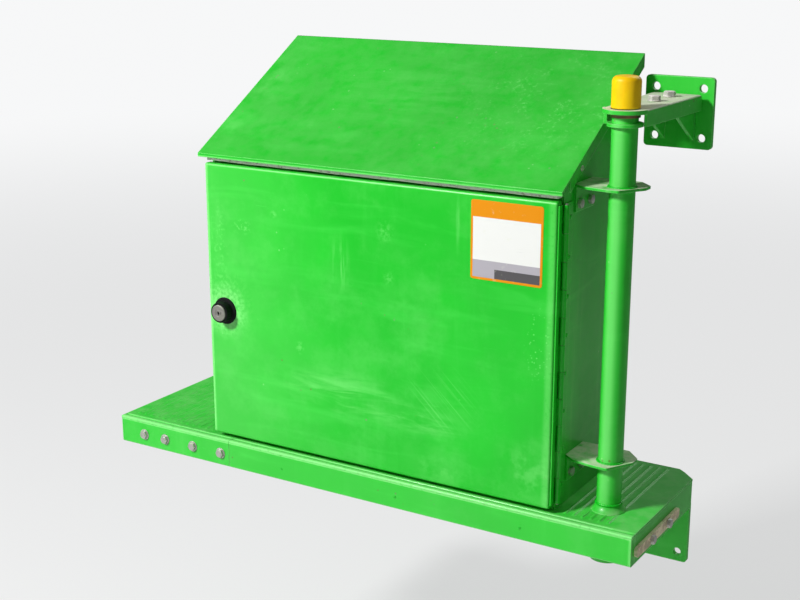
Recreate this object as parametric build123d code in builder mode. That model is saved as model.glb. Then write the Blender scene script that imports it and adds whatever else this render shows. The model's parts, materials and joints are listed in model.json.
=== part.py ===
from build123d import *
from math import cos, radians, tan
import os

# Swing-out tool locker on a step platform, in millimetres.
# +X runs along the platform towards the pivot post, +Y points into the machine, +Z is up.
# The origin is the centre of the upper foot, on the plane that both feet are bolted to.

# Mounting feet
foot_size = 110.0          # side of each square foot plate
foot_t = 8.0
foot_bolt_pitch = 76.0     # spacing of the four foot bolts, both ways
foot_bolt_r = 6.5          # radius of the foot bolt holes
foot_corner_r = 6.0

# Upper arm and the bracket that it is bolted to
arm_top = 30.0             # top of the arm above the foot centre
arm_nose_r = 33.0          # arm's round nose, about the post axis
arm_back_w = 80.0          # arm's width at its back end
arm_back_gap = 12.0        # gap between the arm and the foot plate
arm_web_t = 6.0
arm_side_t = 5.0
arm_side_h = 24.0          # full height of the bent-down sides
arm_bend_r = 4.0
tongue_t = 8.0             # bracket tongue under the arm
tongue_side_gap = 2.0      # play between the tongue and the arm's sides
tongue_length = 160.0      # tongue's reach in front of the foot plate
tongue_rib_t = 5.0
tongue_rib_reach = 96.0
tongue_rib_drop = 58.0     # rib's height below the tongue, at the foot plate
arm_bolt_x = 5.0           # bolts' line to the right of the post axis
arm_bolt_r = 5.0
arm_bolt_af = 16.0         # hexagon across its flats
arm_bolt_head = 6.4
arm_bolt_nut = 8.0
arm_washer_t = 2.0
arm_washer_r = 10.0
arm_bolt_back = 64.0       # bolts in front of the mounting plane
arm_bolt_front = 126.0

# Pivot post
post_y = -222.0            # post axis, in front of the mounting plane
post_r = 19.0
post_wall = 4.0
post_above_arm = 41.0      # how far the tube stands above the upper arm
run_play = 0.05            # radial play of each turning fit
seat_play = 0.3            # gap between faces that slide or rest on each other
bush_wall = 2.4
upper_bush_length = 12.0
stop_ring_wall = 7.0
stop_ring_t = 5.0
stop_ring_drop = 20.0      # stop ring's top below the arm's top
cap_wall = 1.7
cap_height = 46.0
cap_lift = 1.0             # gap between the cap and the arm
cap_shoulder = 5.0         # bevel round the cap's top
cap_soften = 1.6           # smaller bevels that round the first one off
base_ring_foot = 8.5       # collar's wall where it stands on the tread
base_ring_neck = 1.5       # and at its upper end
base_ring_h = 12.0

# Step platform
tread_z = -580.0           # top of the tread below the upper foot's centre
tread_t = 4.0
tread_edge_r = 1.5
platform_left = -916.0
platform_right = 70.0
platform_front = -300.0
platform_back = -14.0
corner_cut = 30.0          # bevel at the corner that swings past the mounting plane
extension_length = 245.0   # bolted-on length at the left end
seam_gap = 0.6
rail_h = 45.0
rail_w = 32.0
rail_t = 3.0
rail_bend_r = 3.0
rail_inset = 0.5           # rails stand back from the tread's edge
groove_setback = 9.0       # groove behind the tread's front edge
groove_w = 4.0
groove_depth = 2.0
groove_end = 6.0           # groove's ends from the platform's ends
rib_pitch = 14.0
rib_w = 4.0
rib_h = 1.5
rib_margin = 12.0          # bare band round the ribs
cross_w = 36.0             # width of each cross member's flanges
extension_cross = 129.0    # extension's cross member, left of the seam
cross_left = 560.0         # the others, left of the post axis
cross_middle = 335.0
cross_right = 112.0
doubler_t = 6.0            # plate round the post inside the frame
doubler_reach = 62.0       # its reach to the left of the post axis
doubler_back = 52.0        # and behind it
splice_h = 30.0            # bar that joins the extension to the main frame
splice_t = 6.0
splice_before = 209.0      # bar's reach to the left of the seam
splice_past = 121.0        # and to the right, where it is welded on
splice_bolt_first = 19.0   # bolts to the left of the seam
splice_bolt_second = 81.0
splice_bolt_third = 144.0
splice_bolt_last = 192.0
strap_h = 16.0             # strap on the platform's right end
strap_t = 5.0
strap_drop = 30.0          # strap's centre below the tread
strap_front = 13.0         # strap's end behind the platform's front
strap_length = 175.0
strap_end_r = 6.0
strap_bolt_front = 58.0    # bolts behind the strap's front end
strap_bolt_back = 126.0

# Lower arm and its bearing
lower_gap = 12.0           # arm's top below the platform's rails
lower_web_t = 10.0
lower_foot_over = 4.0      # foot plate's top edge above the arm's
lower_boss_r = 27.0
lower_boss_h = 22.0
lower_rib_t = 8.0
lower_rib_drop = 62.0
lower_rib_nose = 24.0      # rib's front end behind the post axis
tube_below_rails = 3.0
thrust_t = 4.0
thrust_inset = 2.0         # thrust washer's edge in from the boss's
pivot_pin_in_tube = 70.0
pivot_pin_tip = 4.0        # pin's end below the boss
pivot_pin_bevel = 3.0

# Locker
locker_right = -68.0       # right face of the locker and of its door
locker_width = 640.0
locker_back = -12.0
sheet = 3.0
wall_start = 22.0          # front edge of the walls behind the door's front face
wall_flange = 14.0         # flange along each side wall's top, under the roof
rim_inset = 9.0            # raised rim round the opening, in from the walls' outer faces
rim_t = 2.5
rim_reach = 12.0           # rim's reach in front of the walls
seal_w = 7.0
roof_slope = 30.6          # degrees
roof_front_over = 5.0      # roof's reach past the door's front face
roof_side_over = 9.0
roof_back_over = 4.0
roof_t = 3.0
roof_lip = 6.0             # fold along the roof's front edge
roof_skirt = 18.0          # folds along its sides
strip_h = 8.0              # weather strip over the door
strip_gap = 3.0            # between the door's top edge and the strip
strip_top_gap = 5.0        # between the strip and the height of the roof's front edge
strip_depth = 18.0

# Door, its stiffener and its latch
door_front = -292.0
door_lift = 8.0            # door's lower edge above the tread
door_h = 472.0
door_depth = 14.0
door_sheet = 2.0
door_edge_r = 3.0
stiff_w = 70.0
stiff_depth = 12.0
stiff_foot = 18.0
stiff_end_gap = 26.0
latch_setback = 34.0       # latch axis from the door's left edge
latch_height = 231.0       # latch axis above the tread
latch_flange_r = 23.0
latch_flange_t = 3.0
latch_grip_r = 18.0
latch_grip_h = 15.0
latch_grip_taper = 2.0     # degrees
latch_face_r = 16.0
latch_face_h = 2.0
latch_body_w = 19.0        # square body through the door
latch_body_length = 26.0
cam_w = 12.0
cam_t = 3.0
cam_length = 44.0

# Knuckle hinge
hinge_knuckles = 11
hinge_pin_r = 2.5
hinge_pin_over = 2.0       # pin's ends past the knuckles
hinge_wall = 2.0           # wall of the barrel round the pin
hinge_leaf_t = 2.0
hinge_leaf_w = 25.0
hinge_leaf_gap = 1.0       # leaves' edges clear of the barrel
hinge_stand_off = 0.8      # barrel clear of the wall's face
hinge_back = 19.0          # pin axis behind the door's front face
hinge_front_gap = 3.0      # door's leaf behind the door's front face
hinge_axial_gap = 0.6
hinge_end_gap = 6.0        # hinge's ends from the door's ends

# Lugs between the post and the locker's side
lower_lug_height = 79.0    # lower lug's top above the tread
upper_lug_rise = 2.0       # upper lug's top above the roof's front edge
lug_t = 4.0
lug_drop = 42.0            # height of the flange against the locker's side
lug_wall_front = 14.0      # flange's front edge in front of the post axis
lug_behind = 50.0          # and its back edge behind the axis
lug_shoulder_x = -49.0     # left front corner, from the post axis
lug_shoulder_y = -28.0
lug_nose_w = 16.0          # short front edge between the two slanting ones
lug_nose_y = -34.0
lug_right = 33.0           # right edge, from the post axis
lug_side_y = 8.0           # and its ends, from the axis
lug_heel_y = 26.0
lug_tail = 10.0            # back edge's end to the right of the axis
lug_corner_r = 4.0
lug_bolt_drop = 30.0       # bolts below the lug's top
lug_bolt_front = -4.0      # bolts behind the post axis
lug_bolt_back = 34.0

# Small bolts of the lugs, the splice and the strap
small_bolt_r = 4.0
small_bolt_af = 13.0
small_bolt_head = 5.5
small_nut = 6.5
bolt_play = 0.25           # radial play of each bolt in its holes

# Values worked out from the sizes above
rail_top = tread_z - tread_t
rail_bottom = rail_top - rail_h
rail_mid = (rail_top + rail_bottom) / 2
rail_front = platform_front + rail_inset
rail_back = platform_back - rail_inset
rail_right = platform_right - rail_inset
seam_x = platform_left + extension_length
web_back = rail_front + rail_t                     # back face of the front rail's web
splice_back = web_back + splice_t
locker_left = locker_right - locker_width
inner_left = locker_left + sheet
inner_right = locker_right - sheet
wall_front = door_front + wall_start
door_z0 = tread_z + door_lift
door_z1 = door_z0 + door_h
strip_z0 = door_z1 + strip_gap
roof_front = door_front - roof_front_over
roof_back = locker_back + roof_back_over
roof_left = locker_left - roof_side_over
roof_right = locker_right + roof_side_over
roof_edge_z = strip_z0 + strip_h + strip_top_gap
roof_grade = tan(radians(roof_slope))
roof_upright = roof_t / cos(radians(roof_slope))   # roof sheet's thickness, measured upright
post_bottom = rail_bottom - tube_below_rails
post_top = arm_top + post_above_arm
thrust_top = post_bottom - seat_play
boss_top = thrust_top - thrust_t - seat_play
boss_bottom = boss_top - lower_boss_h
lower_web_top = rail_bottom - lower_gap
lower_foot_z = lower_web_top + lower_foot_over - foot_size / 2
pin_r = post_r - post_wall - run_play
latch_x = locker_left + latch_setback
latch_z = tread_z + latch_height
latch_hole_w = latch_body_w + 2 * seat_play
hinge_r = hinge_pin_r + hinge_wall
hinge_x = locker_right + hinge_stand_off + hinge_r
hinge_y = door_front + hinge_back
hinge_z0 = door_z0 + hinge_end_gap
hinge_z1 = door_z1 - hinge_end_gap
arm_bolt_stations = (arm_bolt_back, arm_bolt_front)
cross_stations = (cross_left, cross_middle, cross_right)
splice_bolt_stations = (splice_bolt_first, splice_bolt_second, splice_bolt_third, splice_bolt_last)
strap_bolt_stations = (strap_bolt_front, strap_bolt_back)
lug_bolt_stations = (lug_bolt_front, lug_bolt_back)
lug_tops = {"lower_lug": tread_z + lower_lug_height, "upper_lug": roof_edge_z + upper_lug_rise}
lug_shoulder = (lug_shoulder_x, post_y + lug_shoulder_y)
lug_nose_left = (-lug_nose_w / 2, post_y + lug_nose_y)
lug_nose_right = (lug_nose_w / 2, post_y + lug_nose_y)
lug_side = (lug_right, post_y + lug_side_y)
lug_heel = (lug_right, post_y + lug_heel_y)

os.makedirs("parts", exist_ok=True)


def block(x0, x1, y0, y1, z0, z1, mode=Mode.ADD):
    """Rectangular length of plate or bar between three pairs of bounds."""
    with Locations(((x0 + x1) / 2, (y0 + y1) / 2, (z0 + z1) / 2)):
        Box(abs(x1 - x0), abs(y1 - y0), abs(z1 - z0), mode=mode)


def disc(z0, z1, radius, x=0.0, y=post_y, mode=Mode.ADD):
    """Upright cylinder between two heights, on the post axis unless told otherwise."""
    with Locations((x, y, (z0 + z1) / 2)):
        Cylinder(radius, z1 - z0, mode=mode)


def along_x(points, x0, x1):
    """Section with Y, Z corners, drawn out from x0 to x1."""
    with BuildSketch(Plane.YZ.offset(x0)) as section:
        with BuildLine():
            Polyline(*points, close=True)
        make_face()
    extrude(section.sketch, amount=x1 - x0)


def holes_along_x(places, x0, depth, radius):
    """Round holes at Y, Z places through a wall that starts at x0."""
    with BuildSketch(Plane.YZ.offset(x0)) as holes:
        with Locations(*places):
            Circle(radius)
    extrude(holes.sketch, amount=depth, mode=Mode.SUBTRACT)


def holes_along_y(places, y0, depth, radius):
    """Round holes at X, Z places through a wall that starts at y0."""
    with BuildSketch(Plane.XZ.offset(-y0)) as holes:
        with Locations(*places):
            Circle(radius)
    extrude(holes.sketch, amount=-depth, mode=Mode.SUBTRACT)


def hexagon(plane, af, height):
    """Hexagon prism on a plane, for a bolt's head or nut."""
    with BuildSketch(plane) as six_sided:
        RegularPolygon(radius=af / 2, side_count=6, major_radius=False)
    extrude(six_sided.sketch, amount=height)


def hex_bolt(origin, outward, af, head, shank_r, grip, nut):
    """Bolt whose head stands on a face, with its nut, if it has one, past the grip on its shank."""
    seat = Plane(origin=origin, z_dir=outward)
    hexagon(seat, af, head)
    with BuildSketch(seat) as shank:
        Circle(shank_r)
    extrude(shank.sketch, amount=-grip)
    if nut > 0:
        hexagon(seat.offset(-grip), af, -nut)


def small_bolt(origin, outward, grip, nut):
    """One of the small bolts, through that much metal."""
    hex_bolt(origin, outward, small_bolt_af, small_bolt_head, small_bolt_r, grip, nut)


def foot_plate(centre_z):
    """Square foot plate on the mounting plane, with its four bolt holes."""
    with BuildSketch(Plane.XZ) as plate:
        with Locations((0, centre_z)):
            RectangleRounded(foot_size, foot_size, foot_corner_r)
            with GridLocations(foot_bolt_pitch, foot_bolt_pitch, 2, 2):
                Circle(foot_bolt_r, mode=Mode.SUBTRACT)
    extrude(plate.sketch, amount=foot_t)


def save(part, name):
    """Label a finished piece and write it out."""
    part.label = name
    export_step(part, f"parts/{name}.step")


# Upper wall bracket: foot plate, tongue and two ribs
tongue_half = arm_nose_r - arm_side_t - tongue_side_gap
tongue_top = arm_top - arm_web_t
tongue_under = tongue_top - tongue_t
tongue_rib = ((-foot_t, tongue_under), (-foot_t, tongue_under - tongue_rib_drop),
              (-foot_t - tongue_rib_reach, tongue_under))
with BuildPart() as wall_bracket:
    foot_plate(0)
    block(-tongue_half, tongue_half, -foot_t - tongue_length, -foot_t, tongue_under, tongue_top)
    for x0 in (-tongue_half, tongue_half - tongue_rib_t):
        along_x(tongue_rib, x0, x0 + tongue_rib_t)
    for station in arm_bolt_stations:
        disc(tongue_under, tongue_top, arm_bolt_r + bolt_play, arm_bolt_x, -station, Mode.SUBTRACT)
save(wall_bracket.part, "wall_bracket")

# Upper arm: plate with a round nose, widening to the back, with sides folded down behind the post
arm_back = -foot_t - arm_back_gap
arm_bottom = arm_top - arm_side_h
arm_under = arm_top - arm_web_t
bush_r = post_r + run_play + bush_wall


def arm_body(side_inset, z0, z1, mode):
    """Straight-sided stretch of the arm from the post axis to its back end, between two heights."""
    near = arm_nose_r - side_inset
    far = arm_back_w / 2 - side_inset
    with BuildSketch(Plane.XY.offset(z0)) as stretch:
        with BuildLine():
            Polyline((-near, post_y), (near, post_y), (far, arm_back), (-far, arm_back), close=True)
        make_face()
    extrude(stretch.sketch, amount=z1 - z0, mode=mode)


with BuildPart() as upper_arm:
    arm_body(0, arm_bottom, arm_top, Mode.ADD)
    upper_edges = upper_arm.edges().group_by(Axis.Z)[-1]
    fillet(upper_edges.sort_by(SortBy.LENGTH)[-2:], radius=arm_bend_r)
    arm_body(arm_side_t, arm_bottom, arm_under, Mode.SUBTRACT)
    with BuildSketch(Plane.XY.offset(arm_under)) as nose:
        with BuildLine():
            CenterArc((0, post_y), arm_nose_r, 180, 180)
            Line((-arm_nose_r, post_y), (arm_nose_r, post_y))
        make_face()
    extrude(nose.sketch, amount=arm_web_t)
    disc(arm_under, arm_top, bush_r + run_play, mode=Mode.SUBTRACT)
    for station in arm_bolt_stations:
        disc(arm_under, arm_top, arm_bolt_r + bolt_play, arm_bolt_x, -station, Mode.SUBTRACT)
save(upper_arm.part, "upper_arm")

# Bolts that join the arm to the tongue, with a washer under each head
with BuildPart() as arm_bolts:
    for station in arm_bolt_stations:
        washer_top = arm_top + arm_washer_t
        disc(arm_top, washer_top, arm_washer_r, arm_bolt_x, -station)
        hex_bolt((arm_bolt_x, -station, washer_top), (0, 0, 1), arm_bolt_af, arm_bolt_head,
                 arm_bolt_r, arm_washer_t + arm_web_t + tongue_t, arm_bolt_nut)
save(arm_bolts.part, "arm_bolts")

with BuildPart() as upper_bush:
    disc(arm_top - upper_bush_length, arm_top, bush_r)
    disc(arm_top - upper_bush_length, arm_top, post_r + run_play, mode=Mode.SUBTRACT)
save(upper_bush.part, "upper_bush")

# Lower arm: foot plate, web, boss and rib
lower_bush_r = pin_r + run_play + bush_wall
web_bottom = lower_web_top - lower_web_t
with BuildPart() as lower_arm:
    foot_plate(lower_foot_z)
    block(-lower_boss_r, lower_boss_r, post_y, -foot_t, web_bottom, lower_web_top)
    disc(boss_bottom, boss_top, lower_boss_r)
    along_x(((-foot_t, web_bottom), (-foot_t, web_bottom - lower_rib_drop),
             (post_y + lower_rib_nose, boss_bottom), (post_y + lower_rib_nose, web_bottom)),
            -lower_rib_t / 2, lower_rib_t / 2)
    disc(boss_bottom, boss_top, lower_bush_r + run_play, mode=Mode.SUBTRACT)
save(lower_arm.part, "lower_arm")

with BuildPart() as lower_bush:
    disc(boss_bottom, boss_top, lower_bush_r)
    disc(boss_bottom, boss_top, pin_r + run_play, mode=Mode.SUBTRACT)
save(lower_bush.part, "lower_bush")

with BuildPart() as thrust_washer:
    disc(thrust_top - thrust_t, thrust_top, lower_boss_r - thrust_inset)
    disc(thrust_top - thrust_t, thrust_top, pin_r + seat_play, mode=Mode.SUBTRACT)
save(thrust_washer.part, "thrust_washer")

# Post, its pin, rings and cap
with BuildPart() as post:
    disc(post_bottom, post_top, post_r)
    disc(post_bottom, post_top, post_r - post_wall, mode=Mode.SUBTRACT)
save(post.part, "post")

with BuildPart() as pivot_pin:
    disc(boss_bottom - pivot_pin_tip, post_bottom + pivot_pin_in_tube, pin_r)
    chamfer(pivot_pin.edges().group_by(Axis.Z)[0], length=pivot_pin_bevel)
save(pivot_pin.part, "pivot_pin")

ring_top = arm_top - stop_ring_drop
with BuildPart() as stop_ring:
    disc(ring_top - stop_ring_t, ring_top, post_r + stop_ring_wall)
    disc(ring_top - stop_ring_t, ring_top, post_r + run_play, mode=Mode.SUBTRACT)
save(stop_ring.part, "stop_ring")

with BuildPart() as base_ring:
    with Locations((0, post_y, tread_z + base_ring_h / 2)):
        Cone(post_r + base_ring_foot, post_r + base_ring_neck, base_ring_h)
    disc(tread_z, tread_z + base_ring_h, post_r + run_play, mode=Mode.SUBTRACT)
save(base_ring.part, "base_ring")

cap_bottom = arm_top + cap_lift
cap_bore_r = post_r + seat_play
with BuildPart() as post_cap:
    disc(cap_bottom, cap_bottom + cap_height, cap_bore_r + cap_wall)
    chamfer(post_cap.edges().group_by(Axis.Z)[-1], length=cap_shoulder)
    chamfer(post_cap.edges().filter_by(GeomType.CIRCLE).sort_by(Axis.Z)[-2:], length=cap_soften)
    disc(cap_bottom, post_top + seat_play, cap_bore_r, mode=Mode.SUBTRACT)
save(post_cap.part, "post_cap")


# Platform: a bolted-on extension and a main frame, each with its own tread plate
def plate(x0, x1, cut, inset, z0, z1, mode=Mode.ADD):
    """Platform's outline between two ends, moved in by an inset, with its back right corner cut off."""
    with BuildSketch(Plane.XY.offset(z0)) as outline:
        with Locations(((x0 + x1) / 2, (platform_front + platform_back) / 2)):
            Rectangle(x1 - x0, platform_back - platform_front)
        if cut > 0:
            corner = outline.vertices().group_by(Axis.X)[-1].sort_by(Axis.Y)[-1]
            chamfer(corner, length=cut)
        if inset > 0:
            offset(amount=-inset, kind=Kind.INTERSECTION, mode=Mode.REPLACE)
    extrude(outline.sketch, amount=z1 - z0, mode=mode)


def hollow_rails(x0, x1, cut):
    """Turn the block between the frame's ends into rails of channel that face inwards."""
    plate(x0, x1, cut, rail_inset + rail_w, rail_bottom, rail_top, Mode.SUBTRACT)
    plate(x0, x1, cut, rail_inset + rail_t, rail_bottom + rail_t, rail_top - rail_t, Mode.SUBTRACT)


def cross_member(x):
    """Channel between the long rails, with its web at x and its flanges to the right of it."""
    z0 = rail_bottom + rail_t
    z1 = rail_top - rail_t
    block(x, x + cross_w, splice_back, rail_back - rail_t, z0, z1)
    block(x + rail_t, x + cross_w, splice_back, rail_back - rail_t, z0 + rail_t, z1 - rail_t, Mode.SUBTRACT)


def ribs(x0, x1):
    """Raised tread ribs running from front to back between two places along X."""
    count = int((x1 - x0 - rib_w) // rib_pitch) + 1
    with BuildSketch(Plane.XY.offset(tread_z)) as rib_rows:
        with Locations(((x0 + x1) / 2, (rib_front + platform_back - rib_margin) / 2)):
            with GridLocations(rib_pitch, 1, count, 1):
                Rectangle(rib_w, platform_back - rib_margin - rib_front)
    extrude(rib_rows.sketch, amount=rib_h)


def tread_groove(x0, x1):
    """Shallow groove along the front of the tread."""
    y0 = platform_front + groove_setback
    block(x0, x1, y0, y0 + groove_w, tread_z - groove_depth, tread_z, Mode.SUBTRACT)


def round_front_edge(piece):
    """Soften the tread's upper front edge."""
    edge = piece.edges().filter_by(Axis.X).group_by(Axis.Z)[-1].sort_by(Axis.Y)[0]
    fillet(edge, radius=tread_edge_r)


splice_places = [(seam_x - station, rail_mid) for station in splice_bolt_stations]
strap_z = tread_z - strap_drop
strap_places = [(platform_front + strap_front + station, strap_z) for station in strap_bolt_stations]
rib_front = platform_front + groove_setback + groove_w + rib_margin

with BuildPart() as platform_frame:
    plate(seam_x + seam_gap / 2 - rail_inset, platform_right, corner_cut, rail_inset, rail_bottom, rail_top)
    fillet(platform_frame.edges().filter_by(Axis.X).group_by(Axis.Z)[0], radius=rail_bend_r)
    hollow_rails(seam_x - 2 * rail_w, platform_right, corner_cut)
    holes_along_x(strap_places, rail_right - rail_t, rail_t, small_bolt_r + bolt_play)
save(platform_frame.part, "platform_frame")

with BuildPart() as extension_frame:
    plate(platform_left, seam_x - seam_gap / 2 + rail_inset, 0, rail_inset, rail_bottom, rail_top)
    fillet(extension_frame.edges().filter_by(Axis.X).group_by(Axis.Z)[0], radius=rail_bend_r)
    hollow_rails(platform_left, seam_x + 2 * rail_w, 0)
    holes_along_y(splice_places, rail_front, rail_t, small_bolt_r + bolt_play)
save(extension_frame.part, "extension_frame")

with BuildPart() as cross_members:
    cross_member(seam_x - extension_cross)
    for station in cross_stations:
        cross_member(-station)
save(cross_members.part, "cross_members")

with BuildPart() as pivot_doubler:
    z0 = rail_bottom + rail_t
    block(-doubler_reach, rail_right - rail_t, web_back, post_y + doubler_back, z0, z0 + doubler_t)
    disc(z0, z0 + doubler_t, post_r + run_play, mode=Mode.SUBTRACT)
save(pivot_doubler.part, "pivot_doubler")

with BuildPart() as tread_plate:
    plate(seam_x + seam_gap / 2, platform_right, corner_cut, 0, rail_top, tread_z)
    round_front_edge(tread_plate)
    tread_groove(seam_x + seam_gap / 2, platform_right - groove_end)
    ribs(locker_right + rib_margin, platform_right - corner_cut - rib_margin)
    disc(tread_z, tread_z + rib_h, post_r + base_ring_foot + seat_play, mode=Mode.SUBTRACT)
    disc(rail_top, tread_z, post_r + run_play, mode=Mode.SUBTRACT)
save(tread_plate.part, "tread_plate")

with BuildPart() as tread_extension:
    plate(platform_left, seam_x - seam_gap / 2, 0, 0, rail_top, tread_z)
    round_front_edge(tread_extension)
    tread_groove(platform_left + groove_end, seam_x - seam_gap / 2)
    ribs(platform_left + rib_margin, min(locker_left, seam_x) - rib_margin)
save(tread_extension.part, "tread_extension")

with BuildPart() as splice_bar:
    block(seam_x - splice_before, seam_x + splice_past, web_back, splice_back,
          rail_mid - splice_h / 2, rail_mid + splice_h / 2)
    holes_along_y(splice_places, web_back, splice_t, small_bolt_r + bolt_play)
save(splice_bar.part, "splice_bar")

# Splice bolts: screwed into the bar, which is their nut
with BuildPart() as splice_bolts:
    for x, z in splice_places:
        small_bolt((x, rail_front, z), (0, -1, 0), rail_t + splice_t, 0)
save(splice_bolts.part, "splice_bolts")

with BuildPart() as end_strap:
    block(rail_right, rail_right + strap_t, platform_front + strap_front,
          platform_front + strap_front + strap_length, strap_z - strap_h / 2, strap_z + strap_h / 2)
    ends = end_strap.edges().filter_by(Axis.X)
    fillet(ends, radius=strap_end_r)
    holes_along_x(strap_places, rail_right, strap_t, small_bolt_r + bolt_play)
save(end_strap.part, "end_strap")

with BuildPart() as strap_bolts:
    for y, z in strap_places:
        small_bolt((rail_right + strap_t, y, z), (1, 0, 0), strap_t + rail_t, small_nut)
save(strap_bolts.part, "strap_bolts")


# Locker walls, floor, back and roof
def roof_under(y):
    """Height of the roof sheet's lower face at a place along Y."""
    return roof_edge_z + (y - roof_front) * roof_grade - roof_upright


def under_roof(y):
    """Height just below the roof's lower face, where the walls end."""
    return roof_under(y) - seat_play


flange_front = wall_front + sheet
flange_back = locker_back - sheet
flange_drop = sheet / cos(radians(roof_slope))
wall_outline = ((wall_front, tread_z), (locker_back, tread_z),
                (locker_back, under_roof(locker_back)), (wall_front, under_roof(wall_front)))
flange_outline = ((flange_front, under_roof(flange_front)), (flange_back, under_roof(flange_back)),
                  (flange_back, under_roof(flange_back) - flange_drop),
                  (flange_front, under_roof(flange_front) - flange_drop))
with BuildPart() as side_panels:
    for outer, inner, flange_end in ((locker_left, inner_left, inner_left + wall_flange),
                                     (locker_right, inner_right, inner_right - wall_flange)):
        along_x(wall_outline, min(outer, inner), max(outer, inner))
        along_x(flange_outline, min(inner, flange_end), max(inner, flange_end))
    for top in lug_tops.values():
        places = [(post_y + station, top - lug_bolt_drop) for station in lug_bolt_stations]
        holes_along_x(places, inner_right, sheet, small_bolt_r + bolt_play)
save(side_panels.part, "side_panels")

with BuildPart() as back_panel:
    along_x(((flange_back, tread_z), (locker_back, tread_z), (locker_back, under_roof(locker_back)),
             (flange_back, under_roof(flange_back))), inner_left, inner_right)
save(back_panel.part, "back_panel")

with BuildPart() as floor_panel:
    block(inner_left, inner_right, wall_front, flange_back, tread_z, tread_z + sheet)
save(floor_panel.part, "floor_panel")

roof_rise = (roof_back - roof_front) * roof_grade
skirt_z0 = roof_under(wall_front)
skirt_z1 = roof_under(roof_back)
with BuildPart() as roof:
    along_x(((roof_front, roof_edge_z), (roof_back, roof_edge_z + roof_rise),
             (roof_back, roof_edge_z + roof_rise - roof_upright), (roof_front, roof_edge_z - roof_upright)),
            roof_left, roof_right)
    block(roof_left, roof_right, roof_front, roof_front + roof_t, roof_edge_z - roof_lip, roof_edge_z)
    for x0 in (roof_left, roof_right - roof_t):
        along_x(((wall_front, skirt_z0), (roof_back, skirt_z1), (roof_back, skirt_z1 - roof_skirt),
                 (wall_front, skirt_z0 - roof_skirt)), x0, x0 + roof_t)
save(roof.part, "roof")

# Front frame: flange between the walls with a raised rim round the opening
rim_x0 = locker_left + rim_inset
rim_x1 = locker_right - rim_inset
rim_z0 = door_z0 + rim_inset
rim_z1 = door_z1 - rim_inset
rim_front = wall_front - rim_reach
with BuildPart() as front_frame:
    block(inner_left, inner_right, wall_front, wall_front + sheet, tread_z + sheet, under_roof(wall_front))
    block(rim_x0, rim_x1, rim_front, wall_front, rim_z0, rim_z1)
    block(rim_x0 + rim_t, rim_x1 - rim_t, rim_front, wall_front + sheet,
          rim_z0 + rim_t, rim_z1 - rim_t, Mode.SUBTRACT)
save(front_frame.part, "front_frame")

seal_front = door_front + door_sheet + seat_play
seal_over = (seal_w - rim_t) / 2          # seal's overhang on each side of the rim
seal_in = seal_w - seal_over
with BuildPart() as door_seal:
    block(rim_x0 - seal_over, rim_x1 + seal_over, seal_front, rim_front,
          rim_z0 - seal_over, rim_z1 + seal_over)
    block(rim_x0 + seal_in, rim_x1 - seal_in, seal_front, rim_front,
          rim_z0 + seal_in, rim_z1 - seal_in, Mode.SUBTRACT)
save(door_seal.part, "door_seal")

with BuildPart() as weather_strip:
    block(inner_left, inner_right, wall_front - strip_depth, wall_front, strip_z0, strip_z0 + strip_h)
save(weather_strip.part, "weather_strip")

# Lugs: plate round the post, folded down against the locker's side
lug_plan = ((locker_right, post_y - lug_wall_front), lug_shoulder, lug_nose_left, lug_nose_right,
            lug_side, lug_heel, (lug_tail, post_y + lug_behind), (locker_right, post_y + lug_behind))
for name, top in lug_tops.items():
    with BuildPart() as lug:
        with BuildSketch(Plane.XY.offset(top - lug_t)) as lug_outline:
            with BuildLine():
                Polyline(*lug_plan, close=True)
            make_face()
            free_corners = lug_outline.vertices().group_by(Axis.X)[1:]
            fillet([corner for group in free_corners for corner in group], radius=lug_corner_r)
        extrude(lug_outline.sketch, amount=lug_t)
        block(locker_right, locker_right + lug_t, post_y - lug_wall_front, post_y + lug_behind,
              top - lug_drop, top)
        disc(top - lug_t, top, post_r + run_play, mode=Mode.SUBTRACT)
        places = [(post_y + station, top - lug_bolt_drop) for station in lug_bolt_stations]
        holes_along_x(places, locker_right, lug_t, small_bolt_r + bolt_play)
    save(lug.part, name)

with BuildPart() as lug_bolts:
    for top in lug_tops.values():
        for station in lug_bolt_stations:
            head_seat = (locker_right + lug_t, post_y + station, top - lug_bolt_drop)
            small_bolt(head_seat, (1, 0, 0), lug_t + sheet, small_nut)
save(lug_bolts.part, "lug_bolts")

# Door: pan with rounded edges, and a stiffener of hat section down its middle
with BuildPart() as door_skin:
    block(locker_left, locker_right, door_front, door_front + door_depth, door_z0, door_z1)
    fillet(door_skin.faces().sort_by(Axis.Y)[0].edges(), radius=door_edge_r)
    block(locker_left + door_sheet, locker_right - door_sheet, door_front + door_sheet,
          door_front + door_depth, door_z0 + door_sheet, door_z1 - door_sheet, Mode.SUBTRACT)
    block(latch_x - latch_hole_w / 2, latch_x + latch_hole_w / 2, door_front, door_front + door_sheet,
          latch_z - latch_hole_w / 2, latch_z + latch_hole_w / 2, Mode.SUBTRACT)
save(door_skin.part, "door_skin")

hat_y = door_front + door_sheet
hat_mid = (locker_left + locker_right) / 2
with BuildPart() as door_stiffener:
    with BuildSketch(Plane.XY.offset(door_z0 + stiff_end_gap)) as hat:
        with BuildLine():
            half = Polyline((hat_mid + stiff_w / 2 + stiff_foot, hat_y), (hat_mid + stiff_w / 2, hat_y),
                            (hat_mid + stiff_w / 2 - stiff_depth, hat_y + stiff_depth),
                            (hat_mid, hat_y + stiff_depth))
            mirror(half, about=Plane.YZ.offset(hat_mid))
            offset(amount=door_sheet, side=Side.RIGHT)
        make_face()
    extrude(hat.sketch, amount=door_h - 2 * stiff_end_gap)
save(door_stiffener.part, "door_stiffener")

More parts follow.
